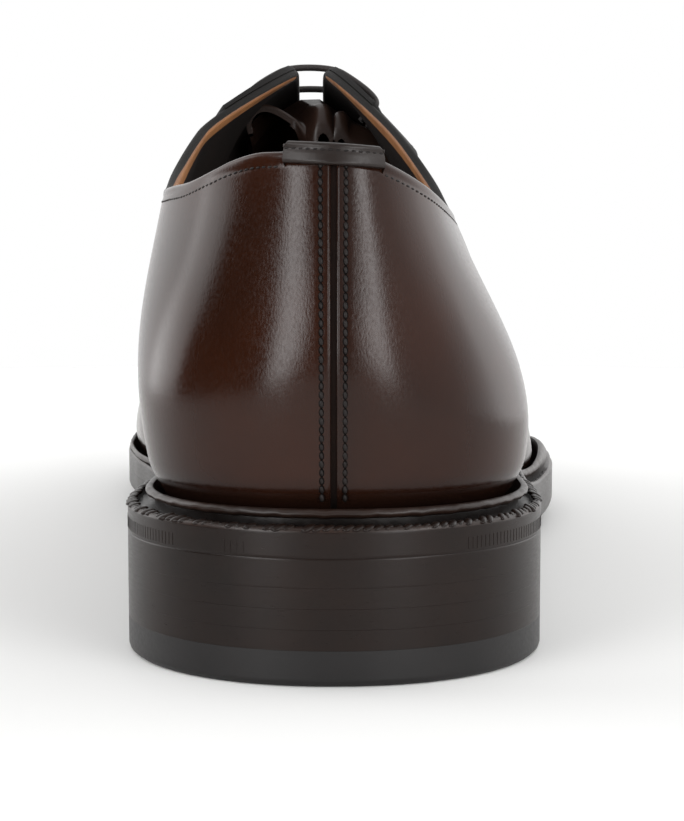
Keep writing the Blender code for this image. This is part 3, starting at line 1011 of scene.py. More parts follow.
class RowTree:
    """Geometry Nodes tree that sets a small shape at even steps along lines, upright on their surface."""

    SIZES = ("Pitch", "Length", "Width", "Height", "Slant", "Jitter")
    SEED = 7

    def __init__(self, bit: Bit) -> None:
        """Builds the tree for one kind of bit.

        Args:
            bit: Small shape that the tree repeats.
        """
        self.tree = bpy.data.node_groups.new(f"row_of_{bit.name.lower()}", "GeometryNodeTree")
        face = self.tree.interface
        face.new_socket("Lines", in_out="INPUT", socket_type="NodeSocketGeometry")
        face.new_socket("Row", in_out="OUTPUT", socket_type="NodeSocketGeometry")
        self.inputs = {
            name: face.new_socket(name, in_out="INPUT", socket_type="NodeSocketFloat").identifier
            for name in self.SIZES
        }
        finish = face.new_socket("Finish", in_out="INPUT", socket_type="NodeSocketMaterial")
        self.inputs["Finish"] = finish.identifier
        self.fill(bit)

    def fill(self, bit: Bit) -> None:
        """Adds and links the nodes.

        Args:
            bit: Small shape that the tree repeats.
        """
        tree = self.tree
        given = node(tree, "NodeGroupInput").outputs
        curve = node(tree, "GeometryNodeMeshToCurve", {"Mesh": given["Lines"]})
        even = node(
            tree,
            "GeometryNodeResampleCurve",
            {"Curve": curve.outputs["Curve"], "Length": given["Pitch"]},
            mode="LENGTH",
        )
        facing = node(tree, "GeometryNodeInputNamedAttribute", {"Name": "facing"}, data_type="FLOAT_VECTOR")
        tangent = node(tree, "GeometryNodeInputTangent")
        along = node(
            tree, "FunctionNodeAlignRotationToVector", {"Vector": tangent.outputs["Tangent"]}, axis="X"
        )
        upright = node(
            tree,
            "FunctionNodeAlignRotationToVector",
            {"Rotation": along.outputs["Rotation"], "Vector": facing.outputs["Attribute"]},
            axis="Z",
            pivot_axis="X",
        )
        least = node(tree, "ShaderNodeMath", {0: 1.0, 1: given["Jitter"]}, operation="SUBTRACT")
        most = node(tree, "ShaderNodeMath", {0: 1.0, 1: given["Jitter"]}, operation="ADD")
        chance = node(
            tree,
            "FunctionNodeRandomValue",
            {2: least.outputs["Value"], 3: most.outputs["Value"], "Seed": self.SEED},
            data_type="FLOAT",
        )
        lean = node(tree, "ShaderNodeMath", {0: given["Slant"], 1: chance.outputs[1]}, operation="MULTIPLY")
        turn = node(tree, "ShaderNodeCombineXYZ", {"Z": lean.outputs["Value"]})
        by = node(tree, "FunctionNodeEulerToRotation", {"Euler": turn.outputs["Vector"]})
        slanted = node(
            tree,
            "FunctionNodeRotateRotation",
            {"Rotation": upright.outputs["Rotation"], "Rotate By": by.outputs["Rotation"]},
            rotation_space="LOCAL",
        )
        size = node(
            tree,
            "ShaderNodeCombineXYZ",
            {"X": given["Length"], "Y": given["Width"], "Z": given["Height"]},
        )
        uneven = node(
            tree,
            "ShaderNodeVectorMath",
            {0: size.outputs["Vector"], "Scale": chance.outputs[1]},
            operation="SCALE",
        )
        shape = node(tree, bit.value, {"Radius": 0.5, "Subdivisions": 2} if bit is Bit.PILL else None)
        put = node(
            tree,
            "GeometryNodeInstanceOnPoints",
            {
                "Points": even.outputs["Curve"],
                "Instance": shape.outputs["Mesh"],
                "Rotation": slanted.outputs["Rotation"],
                "Scale": uneven.outputs["Vector"],
            },
        )
        real = node(tree, "GeometryNodeRealizeInstances", {"Geometry": put.outputs["Instances"]})
        soft = node(tree, "GeometryNodeSetShadeSmooth", {"Geometry": real.outputs["Geometry"]})
        soft.inputs["Shade Smooth"].default_value = bit is Bit.PILL
        dressed = node(
            tree,
            "GeometryNodeSetMaterial",
            {"Geometry": soft.outputs["Geometry"], "Material": given["Finish"]},
        )
        node(tree, "NodeGroupOutput", {"Row": dressed.outputs["Geometry"]})

    def lay(self, name: str, rows: Sequence[Row], pattern: Pattern, finish: Finish) -> bpy.types.Object:
        """Lays a pattern along lines.

        Args:
            name: The piece's name.
            rows: Lines in millimetres on the last.
            pattern: What they repeat.
            finish: Its finish.

        Returns:
            The piece as a plain mesh.
        """
        points = np.concatenate([row.points for row in rows])
        facing = np.concatenate([row.facing for row in rows])
        edges: list[tuple[int, int]] = []
        start = 0
        for row in rows:
            count = len(row.points)
            edges += [(start + i, start + i + 1) for i in range(count - 1)]
            start += count
        mesh = bpy.data.meshes.new(name)
        mesh.from_pydata(LAST.to_frame(points).tolist(), edges, [])
        upright = mesh.attributes.new("facing", "FLOAT_VECTOR", "POINT")
        upright.data.foreach_set("vector", facing.astype(np.float32).ravel())
        piece = bpy.data.objects.new(name, mesh)
        bpy.context.scene.collection.objects.link(piece)
        modifier = piece.modifiers.new("row", "NODES")
        modifier.node_group = self.tree
        sizes = (pattern.pitch * MM, pattern.length * MM, pattern.width * MM, pattern.height * MM)
        for key, value in zip(self.SIZES, (*sizes, math.radians(pattern.slant), pattern.jitter)):
            modifier[self.inputs[key]] = value
        modifier[self.inputs["Finish"]] = WARDROBE[finish]
        evaluated(piece)
        return piece


class ShadePatch(NamedTuple):
    """Soft patch of painted shade on the upper: its middle, how far it spreads along and up, and its share.
    """

    way: float
    share: float
    wide: float
    tall: float
    dye_and_shade: float


@dataclass
class Upper:
    """Quarters with the back seam, and the vamp that they lie over."""

    wall: float = 2.2
    step: float = 0.9
    seam_half: float = 0.45
    seam_deep: float = 0.55
    seam_lip: float = 0.64
    lip_high: float = 0.12
    lip_wide: float = 0.12
    seam_stitch: tuple[float, float] = (-2.05, 1.95)
    stitch_dip: float = 0.04
    stitch_wide: float = 0.5
    # Darker beside the back seam, centred a little to the lateral side.
    seam_darkening: float = 0.45
    seam_darkening_middle: float = 1.2
    seam_darkening_wide: float = 3.0
    # Painted shade on the medial flank, where less light falls.
    flank_shade: ShadePatch = ShadePatch(-0.78, 0.62, 0.34, 0.28, 0.5)
    wave: float = 0.05
    strip: Smooth = field(
        default_factory=lambda: Smooth((0.0, 1.0, 2.4, 3.4, 14.0), (1.0, 1.8, 3.0, 2.2, 1.7))
    )
    strip_stain: float = 0.6
    tan_turn: Smooth = field(
        default_factory=lambda: Smooth((0.0, 1.9, 2.6, 3.4, 14.0), (95, 95, 104, 128, 135))
    )
    tan_from: float = 0.6
    tan_to: float = 4.9
    # Painted shade over the welt, partly dark polish: its share, the height over the foot where it starts to
    # fade, and over how much height it fades.
    welt_polish_shade: float = 0.75
    welt_polish_shade_from: float = 7.8
    welt_polish_shade_high: float = 4.5
    undercut: float = 1.3
    undercut_from: float = 4.8
    undercut_to: float = 11.8
    collar_from: float = 4.2
    collar_to: float = 4.5
    topline_stitch: float = 2.2
    topline_dip: float = 0.1
    topline_drop: float = 0.6
    front_lateral: float = 0.34
    front_medial: float = 0.12
    front_set: tuple[float, float] = (0.075, 0.16)
    front_sink: float = 0.16
    ink_from: float = 1.9
    ink_deep: float = 1.5
    # Partly painted shade: a deeper band of matt ink on the lateral collar, for its dark folded edge and for
    # the leather beside it seen in shade.
    ink_and_shade_more: float = 3.0
    ink_and_shade_middle: float = 4.0
    ink_and_shade_wide: float = 0.45
    trim: Smooth = field(
        default_factory=lambda: Smooth(
            (-14.0, -2.2, -1.7, -1.4, -1.1, -0.92, -0.68, -0.4, 14.0),
            (0.0, 0.0, 0.6, 1.3, 0.7, 0.0, -0.5, 0.0, 0.0),
        )
    )

    SEAM_STEPS = (
        *(0.0, 0.2, 0.38, 0.48, 0.58, 0.66, 0.74, 0.84, 0.98),
        *(1.2, 1.5, 1.75, 1.95, 2.05, 2.15, 2.35, 2.7, 3.2),
    )
    STRIP_ROWS = (0.0, 0.4, 0.8, 1.0)
    ROLL_STEPS = 10
    FAR = 99.0
    CALF_SLOT = 0
    TAN_SLOT = 1
    DARK_SLOT = 2
    INK_SLOT = 3
    SEAM_SLOT = 4

    def seam_relief(self, across: Array) -> Array:
        """Height of the back seam's channel, its two rolled lips and the dips of the stitch rows.

        Args:
            across: Distances from the back seam.

        Returns:
            Heights over the last.
        """
        aside = np.abs(across)
        channel = -self.seam_deep * (1.0 - ease(aside, self.seam_half * 0.7, self.seam_half * 1.3))
        lips = self.lip_high * swell(aside, self.seam_lip, self.lip_wide)
        dips = sum(swell(across, stitch, self.stitch_wide) for stitch in self.seam_stitch)
        return channel + lips - self.stitch_dip * dips

    def tuck(self, height: Array) -> Array:
        """How far the surface is drawn in over the welt, by its height over the foot."""
        return -self.undercut * (1.0 - ease(height, self.undercut_from, self.undercut_to))

    def polish_and_shade_over_welt(self, height: Array) -> Array:
        """Painted shade over the welt, partly dark polish gathered there: darkest at the foot, by the height
        over it.
        """
        return self.welt_polish_shade * (1.0 - ease(height, self.welt_polish_shade_from, self.welt_polish_shade_from + self.welt_polish_shade_high))

    def relief(self, way: Array, share: Array, across: Array) -> Array:
        """Height of the finished surface over the last: seam, topline stitch, undercut, soft waves.

        Args:
            way: Ways round the shoe.
            share: Shares up the section.
            across: Distances from the back seam.

        Returns:
            Heights over the last.
        """
        skin = LAST.skin(way, share)
        height = skin[..., 2] - LAST.foot(way)[..., 2]
        collar = 1.0 - ease(np.abs(way), self.collar_from, self.collar_to)
        dip = -self.topline_dip * swell(LAST.below(way, share), self.topline_stitch, 0.4) * collar
        short = np.sin(skin[..., 2] / 7.0 + 1.3 * way)
        long = np.sin(skin[..., 2] / 11.0 - 2.1 * way)
        waves = self.wave * short + self.wave * long
        return self.seam_relief(across) + dip + self.tuck(height) + waves * ease(np.abs(way), 0.3, 0.8)

    def quarter_ways(self, share: Array) -> tuple[Array, Array]:
        """Ways of the quarters' columns at each share, close beside the back seam.

        Args:
            share: Shares of the rows.

        Returns:
            Way and distance from the back seam, rows of columns by shares.
        """
        step = np.full_like(share, 0.02)
        rate = (LAST.skin(step, share)[:, 0] - LAST.skin(-step, share)[:, 0]) / (2.0 * step)
        near = np.array(self.SEAM_STEPS)[:, None]
        beside = np.concatenate((-near[:0:-1], near))
        back = np.arange(0.25, 1.0, 0.05)
        side = np.arange(1.0, LAST.quarter_end, 0.06)
        far = np.concatenate((back, side, [LAST.quarter_end]))
        plain = np.repeat(far[:, None], len(share), axis=1)
        ways = np.concatenate((-plain[::-1], beside / rate, plain))
        wide = np.full_like(plain, self.FAR)
        across = np.concatenate((-wide, np.repeat(beside, len(share), axis=1), wide))
        return ways, across

    def quarters(self) -> bpy.types.Object:
        """Quarters as one wall: calf outside, a rolled, dyed edge, a tan strip and a dark lining inside.

        Returns:
            The piece, in the scene.
        """
        draft = Draft()
        radius = self.wall / 2.0
        rows = np.concatenate((np.linspace(0.0, 0.9, 46)[:-1], np.linspace(0.9, 1.0, 16)))
        ways, across = self.quarter_ways(rows)
        brim = ways[:, -1:]
        end = LAST.share_below(brim, radius + self.trim(brim))
        share = rows[None, :] * end
        skin = LAST.skin(ways, share)
        normal = LAST.normal(ways, share)
        lift = self.relief(ways, share, across)
        outer = draft.place(skin + normal * lift[..., None], self.outer_dye_and_shade(ways, share, skin, across))

        steps = np.linspace(0.0, 1.0, self.ROLL_STEPS + 1)[None, 1:-1]
        border = np.radians(self.tan_turn(np.abs(brim)))
        rest = 1.0 - self.tan_from
        past = (math.pi - border) * np.clip(steps - self.tan_from, 0.0, rest) / rest
        turns = (border * np.minimum(steps, self.tan_from) / self.tan_from + past)[..., None]
        arc = radius * (np.cos(turns) - 1.0)
        base = skin[:, -1:] + normal[:, -1:] * lift[:, -1:, None] * (1.0 - turns / math.pi)
        roll = base + normal[:, -1:] * arc + LAST.lean(brim, end) * radius * np.sin(turns)
        brow = draft.place(roll, self.strip_stain * swell(steps, self.tan_from, 0.1) * np.ones_like(brim))

        strip_end = len(self.STRIP_ROWS) - 1
        strip = self.strip(np.abs(brim)) * np.array(self.STRIP_ROWS)
        inside = LAST.share_below(brim, radius + self.trim(brim) + strip)
        inside = np.concatenate((inside, np.linspace(0.95, 0.0, 25)[None, :] * end), 1)
        stained = np.zeros(inside.shape)
        stained[:, strip_end] = self.strip_stain
        inner = draft.place(LAST.off(brim, inside, -self.wall), stained)

        draft.cover(outer, self.outer_slots(ways, share, across))
        station = np.abs(brim[:-1] + brim[1:]) / 2.0
        edge = np.where(station > self.ink_from, self.INK_SLOT, self.CALF_SLOT)
        lining = np.where(station < self.tan_to, self.TAN_SLOT, self.DARK_SLOT)
        face = np.arange(self.ROLL_STEPS + strip_end)[None, :]
        turned = np.concatenate((outer[:, -1:], brow, inner[:, : strip_end + 1]), 1)
        draft.cover(turned, np.where(face < round(self.tan_from * self.ROLL_STEPS), edge, lining))
        draft.cover(inner[:, strip_end:], self.DARK_SLOT)
        draft.bridge(inner[:, -1], outer[:, 0], self.DARK_SLOT)
        for column, flip in ((0, False), (-1, True)):
            front = np.concatenate((outer[column], brow[column], inner[column]))
            draft.fan(front, flip, self.CALF_SLOT)
        return draft.finish("quarters", CALF, LINING, DARK_LINING, INK, SEAM)

    def outer_slots(self, ways: Array, share: Array, across: Array) -> Array:
        """Finish of each outer face: ink along the cut edge, deeper on the lateral collar as partly painted
        shade, the turned seam, calf elsewhere.

        Args:
            ways: Ways of the points.
            share: Shares of the points.
            across: Their distances from the back seam.

        Returns:
            Slots of the faces.
        """
        brim = ways[:, -1:]
        station = np.abs(brim[:-1] + brim[1:]) / 2.0
        below = LAST.below(ways, share)[:-1, :-1]
        # Deeper on the lateral collar: partly painted shade.
        deep = self.ink_deep + self.ink_and_shade_more * swell(brim[:-1], self.ink_and_shade_middle, self.ink_and_shade_wide)
        inked = (below < deep) & (station > self.ink_from) & (station < self.tan_to)
        sunk = np.abs(across[:-1, :-1] + across[1:, :-1]) / 2.0 < self.seam_half
        return np.where(inked, self.INK_SLOT, np.where(sunk, self.SEAM_SLOT, self.CALF_SLOT))

    def outer_dye_and_shade(self, way: Array, share: Array, skin: Array, across: Array) -> Array:
        """Darkening of the outer face: painted shade over the welt, partly dark polish, and on the medial
        flank; darker beside the seam; ink at the cut edge.

        Args:
            way: Ways of the points.
            share: Shares of the points.
            skin: The points on the last.
            across: Their distances from the back seam.

        Returns:
            Share of darkening on each point.
        """
        # Painted shade over the welt, partly dark polish.
        welt_polish_shade = self.polish_and_shade_over_welt(skin[..., 2] - LAST.foot(way)[..., 2])
        near = ease(np.abs(way), self.ink_from - 0.3, self.ink_from + 0.2)
        inked = (1.0 - ease(LAST.below(way, share), 1.4, 2.2)) * near
        # Painted shade on the medial flank.
        spot = self.flank_shade
        flank_shade = spot.dye_and_shade * swell(way, spot.way, spot.wide) * swell(share, spot.share, spot.tall)
        # Darker beside the back seam.
        seam = self.seam_darkening * swell(across, self.seam_darkening_middle, self.seam_darkening_wide)
        return np.maximum.reduce((welt_polish_shade, inked, flank_shade, seam))

    def vamp(self) -> bpy.types.Object:
        """Vamp: one wall from under the quarters round the toe, closed along its ridge.

        Returns:
            The piece, in the scene.
        """
        draft = Draft()
        span = np.linspace(LAST.quarter_end - 0.02, TOE, 110)
        ways = np.concatenate((span, -span[::-1][1:]))[:, None]
        share = np.linspace(0.0, 1.0, 60)[None, :]
        height = LAST.skin(ways, share)[..., 2] - LAST.foot(ways)[..., 2]
        under = 0.5 * self.tuck(height)
        # The vamp also carries the painted shade over the welt.
        outer = draft.place(LAST.off(ways, share, under - self.step), self.polish_and_shade_over_welt(height))
        inner = draft.place(LAST.off(ways, share, -self.step - self.wall))
        draft.shell(outer, inner, high=False)
        return draft.finish("vamp", CALF)

    def seam_rows(self, lift: float) -> list[Row]:
        """Lines of the two stitch rows beside the back seam.

        Args:
            lift: Height of the line over the surface, in millimetres.

        Returns:
            The lines.
        """
        share = np.linspace(0.11, 0.955, 60)
        ways, across = self.quarter_ways(share)
        rows = []
        for stitch in self.seam_stitch:
            way = ways[int(np.argmin(np.abs(across[:, 0] - stitch)))]
            out = self.seam_relief(np.full_like(way, stitch)) + lift
            rows.append(Row(LAST.off(way, share, out), LAST.normal(way, share)))
        return rows

    def collar_rows(self, lift: float) -> list[Row]:
        """Lines of the stitch row under the topline, from the tab to the facing on both sides.

        Args:
            lift: Height of the line over the surface, in millimetres.

        Returns:
            The lines.
        """
        rows = []
        for side in Side:
            way = np.linspace(0.48, 4.32, 120) * side.value
            share = LAST.share_below(way, self.topline_stitch + self.topline_drop + self.trim(way))
            points = LAST.off(way, share, lift - self.topline_dip)
            rows.append(Row(points, LAST.normal(way, share)))
        return rows

    def front_rows(self, lift: float) -> list[Row]:
        """Lines of the two stitch rows along the quarters' front edges.

        Args:
            lift: Height of the line over the surface, in millimetres.

        Returns:
            The lines.
        """
        rows = []
        for side in Side:
            low = self.front_lateral if side is Side.LATERAL else self.front_medial
            for set_in in self.front_set:
                share = np.linspace(low, 0.9, 60)
                ways = np.full_like(share, (LAST.quarter_end - set_in) * side.value)
                points = LAST.off(ways, share, lift - self.front_sink)
                rows.append(Row(points, LAST.normal(ways, share)))
        return rows


@dataclass
class Facing:
    """Eyestay over a quarter: a second layer along the lace holes, with a dyed edge."""

    side: Side
    back: float = 4.3
    front: float = 6.86
    thick: float = 0.95
    turned: float = 0.3
    throat: float = 4.95
    inked: float = 1.0
    round: float = 0.6
    per_way: float = 26.0
    dyed: float = 1.1
    lip: float = 0.1
    bedded: float = 0.15
    stitch_low: float = 1.6
    stitch_high: float = 2.0
    stitch_sink: float = 0.12
    depths: Smooth = field(
        default_factory=lambda: Smooth((4.2, 4.55, 4.95, 6.2, 6.7, 6.9), (0.07, 0.17, 0.24, 0.26, 0.22, 0.10))
    )

    def build(self) -> bpy.types.Object:
        """The layer with rounded edges.

        Returns:
            The piece, in the scene.
        """
        draft = Draft()
        span = np.linspace(self.back, self.front, 120)
        ways = (span * self.side.value)[:: self.side.value][:, None]
        depth = self.depths(np.abs(ways))
        across = np.linspace(0.0, 1.0, 34)[None, :]
        share = 1.0 - depth * (1.0 - across) - 0.002
        rate = 1.0 / (1.0 - LAST.share_below(ways, 1.0))
        low = depth * across * rate
        high = depth * (1.0 - across) * rate
        station = np.abs(ways)
        ends = np.minimum(np.abs(station - self.back), np.abs(station - self.front)) * self.per_way
        near = np.minimum(np.minimum(low, high), ends)
        bend = self.round + 0.3 * (self.height(ways) - self.thick)
        shape = np.sqrt(np.clip(1.0 - (1.0 - np.clip(near / bend, 0.0, 1.0)) ** 2, 0.0, 1.0))
        dye_and_shade = np.clip(1.0 - near / self.dyed, 0.0, 1.0)
        raised = self.lip + (self.height(ways) - self.lip) * shape
        outer = draft.place(LAST.off(ways, share, raised), dye_and_shade)
        inner = draft.place(LAST.off(ways, share, -self.bedded))
        rim = (near < self.inked + 2.0 * swell(station, self.throat, 0.35)).astype(int)
        draft.shell(outer, inner, rim[:-1, :-1] & rim[1:, 1:])
        return draft.finish(f"facing_{self.side.name.lower()}", BURNISHED, INK)

    def height(self, ways: Array) -> Array:
        """Height of its face over the quarter, more where it is turned in at the throat."""
        return self.thick + self.turned * swell(np.abs(ways), self.throat, 0.4)

    def rows(self, lift: float) -> list[Row]:
        """Lines of the stitch rows along its lower and its front edge.

        Args:
            lift: Height of the line over the surface, in millimetres.

        Returns:
            The lines.
        """
        rows = []
        way = np.linspace(self.back + 0.06, self.front - 0.06, 90) * self.side.value
        rate = 1.0 / (1.0 - LAST.share_below(way, 1.0))
        depth = self.depths(np.abs(way))
        for share in (1.0 - depth + self.stitch_low / rate, 1.0 - self.stitch_high / rate):
            points = LAST.off(way, share, self.height(way) + lift - self.stitch_sink)
            rows.append(Row(points, LAST.normal(way, share)))
        return rows


class Crease(NamedTuple):
    """Corner of the tongue's free edge: place across the shoe and height."""

    x: float
    z: float


@dataclass
class Tongue:
    """Tongue under the facings, its free end crumpled and curled over on the medial side."""

    end: float = 5.25
    root: float = 7.7
    thick: float = 1.1
    room: float = 1.7
    spread_root: float = 0.17
    spread_end: float = 0.22
    middle: float = 0.985
    free_y: float = 124.0
    depth: float = 3.7
    hang: float = 10.0
    hang_least: float = 1.2
    forward: float = 3.5
    forward_least: float = 0.4
    curled: float = -9.5
    hanging: float = -4.0
    free_edge: tuple[Crease, ...] = (
        Crease(12.4, 89.5),
        Crease(8.2, 93.7),
        Crease(2.8, 95.5),
        Crease(1.0, 98.8),
        Crease(-0.7, 94.0),
        Crease(-1.6, 98.4),
        Crease(-3.2, 99.4),
        Crease(-4.6, 96.2),
        Crease(-6.5, 93.6),
        Crease(-10.7, 96.8),
        Crease(-14.7, 99.0),
        Crease(-17.4, 98.6),
        Crease(-18.8, 96.3),
        Crease(-18.2, 94.2),
    )

    def sheet(self, sink: float) -> Array:
        """Points of the tongue's face, or of a face sunk under it.

        Args:
            sink: Depth under the outer face.

        Returns:
            Grid of points, from the free end to the root and from lateral to medial.
        """
        columns = 60
        half = np.linspace(0.0, 1.0, columns)
        way = np.linspace(self.end, self.root, 80)[:, None]
        free = 1.0 - ease(way, self.end, self.root)
        spread = self.spread_root + (self.spread_end - self.spread_root) * free
        side = self.middle - (spread - 1.0 + self.middle) * half[None, :]
        share = np.concatenate((side[:, ::-1], side), 1)
        ways = np.concatenate((np.repeat(way, columns, 1), -np.repeat(way, columns, 1)), 1)
        depth = self.depth + sink + self.room * (1.0 - ease(way, 6.5, 7.1))
        body = LAST.off(ways, share, -depth)
        edge = self.edge(2 * columns, sink)
        keep = np.linspace(0.0, 1.0, 24, endpoint=False)[:, None, None]
        hang = np.linspace(1.0, 0.0, 14, endpoint=False)[:, None]
        loose = ease(edge[:, 0], self.curled, self.hanging)
        fall = (self.hang_least + self.hang * loose) * hang
        curve = np.sin(np.minimum(hang * 2.0, 1.0) * math.pi / 2.0)
        forward = (self.forward_least + self.forward * loose) * curve
        flap = edge + np.stack((0.0 * fall, -forward, -fall), -1)
        return np.concatenate((flap, edge + (body[0] - edge) * ease(keep, -0.3, 1.0), body))

    def edge(self, count: int, sink: float) -> Array:
        """Points of the free edge, rounded at its creases.

        Args:
            count: Number of points.
            sink: Depth under the outer face.

        Returns:
            Points.
        """
        corners = np.array(self.free_edge)
        for _ in range(3):
            corners = cut_corners(corners)
        run = np.concatenate(((0.0,), np.cumsum(np.linalg.norm(np.diff(corners, axis=0), axis=1))))
        spots = np.linspace(0.0, run[-1], count)
        line = np.stack([np.interp(spots, run, corners[:, i]) for i in range(2)], 1)
        along = unit(np.gradient(line, axis=0))
        line = line + np.stack((along[:, 1], -along[:, 0]), 1) * sink
        return np.stack((line[:, 0], np.full(count, self.free_y), line[:, 1]), 1)

    def build(self) -> bpy.types.Object:
        """The tongue with its folds, which die out towards the root.

        Returns:
            The piece, in the scene.
        """
        draft = Draft()
        draft.shell(draft.place(self.sheet(0.0)), draft.place(self.sheet(self.thick)))
        return draft.finish("tongue_leather", SOFT_CALF, sharp=80.0)


@dataclass
class Tab:
    """Strip folded over the topline at the back."""

    half: float = 7.65
    high: float = 86.15
    tilt: float = -0.062
    above: float = 1.0
    below: float = 2.95
    inside: float = 6.0
    thick: float = 0.85
    clear: float = 0.15
    chamfer: float = 0.5
    chamfer_slope: float = 1.6
    fold: float = 1.0
    lip: float = 0.45
    swollen: float = 0.18
    stitch: float = 0.6
    stitch_sink: float = 0.16
    # Painted shade: the tab is darkened against the light that falls on it from above.
    tab_shade: float = 0.6
    unstitched: int = 8

    def ways(self) -> Array:
        """Ways across the tab, even in millimetres."""
        near = np.linspace(-0.8, 0.8, 161)
        return np.interp(self.across(), LAST.top(near)[:, 0], near)

    def across(self) -> Array:
        """Places across the tab, close together at its cut corners."""
        turn = np.linspace(-1.0, 1.0, 70)
        return self.half * np.sin(turn * math.pi / 2.0)

    def shift(self, ways: Array) -> Array:
        """Height of the tab's straight line over the topline, which falls away under it."""
        top = LAST.top(ways)
        return self.high + self.tilt * top[..., 0] - top[..., 2]

    def profile(self, wall: float) -> tuple[Array, Array]:
        """Height over the topline and distance out of the quarter, round the folded strip and back inside.

        Args:
            wall: Thickness of the quarter.

        Returns:
            Heights and distances, in the same order.
        """
        out = self.clear + self.thick
        back = -wall - self.clear - self.thick
        turn = np.linspace(0.0, math.pi, 13)
        middle, radius = (out + back) / 2.0, (out - back) / 2.0
        fold_up = self.above - self.fold + self.fold * np.sin(turn)
        fold_out = middle + radius * np.cos(turn)
        lip = np.linspace(-math.pi / 2.0, 0.0, 5)
        lip_up = -self.below + self.lip * (1.0 + np.sin(lip))
        lip_out = out - self.lip + self.lip * np.cos(lip)
        face_up = np.linspace(-self.below + 0.6, self.above - 1.2, 8)
        up = np.concatenate(((-self.below,), lip_up, face_up, fold_up))
        away = np.concatenate(((self.clear,), lip_out, np.full_like(face_up, out), fold_out))
        dip = self.stitch_sink * swell(up, -self.stitch, 0.35)
        swollen = self.swollen * swell(up, self.above - 0.6, 0.9) - dip
        away = away + np.where(away > self.clear, swollen, 0.0)
        up = np.concatenate((up, (-self.inside, -self.inside, 0.1, 0.1)))
        away = np.concatenate((away, (back, back + self.thick, -wall - self.clear * 0.5, self.clear * 0.5)))
        return up, away

    def build(self, wall: float) -> bpy.types.Object:
        """The folded strip, its upper corners cut off.

        Args:
            wall: Thickness of the quarter.

        Returns:
            The piece, in the scene.
        """
        draft = Draft()
        up, away = self.profile(wall)
        ways = self.ways()[:, None]
        past = np.maximum(np.abs(self.across())[:, None] - (self.half - self.chamfer), 0.0)
        corner = past * self.chamfer_slope
        level = up[None, :] - corner * (up[None, :] > 0.0) + self.shift(ways)
        share = LAST.share_below(ways, np.maximum(-level, 0.0))
        rise = LAST.lean(ways, np.ones_like(ways))
        over = np.maximum(level, 0.0)
        points = LAST.off(ways, share, away[None, :]) + rise * over[..., None]
        # Every point of the tab carries its painted shade.
        numbers = draft.place(points, self.tab_shade)
        loop = np.concatenate((numbers, numbers[:, :1]), 1)
        draft.cover(loop)
        draft.fan(numbers[0], flip=True)
        draft.fan(numbers[-1])
        return draft.finish("heel_tab_leather", SOFT_CALF, sharp=60.0)

    def rows(self, lift: float) -> list[Row]:
        """Line of the stitch row across the tab.

        Args:
            lift: Height of the line over the surface, in millimetres.

        Returns:
            The line.
        """
        way = self.ways()[self.unstitched : -self.unstitched]
        level = self.shift(way) - self.stitch
        share = LAST.share_below(way, np.maximum(-level, 0.0))
        over = LAST.lean(way, np.ones_like(way)) * np.maximum(level, 0.0)[:, None]
        out = self.clear + self.thick - self.stitch_sink + lift
        return [Row(LAST.off(way, share, out) + over, LAST.normal(way, share))]


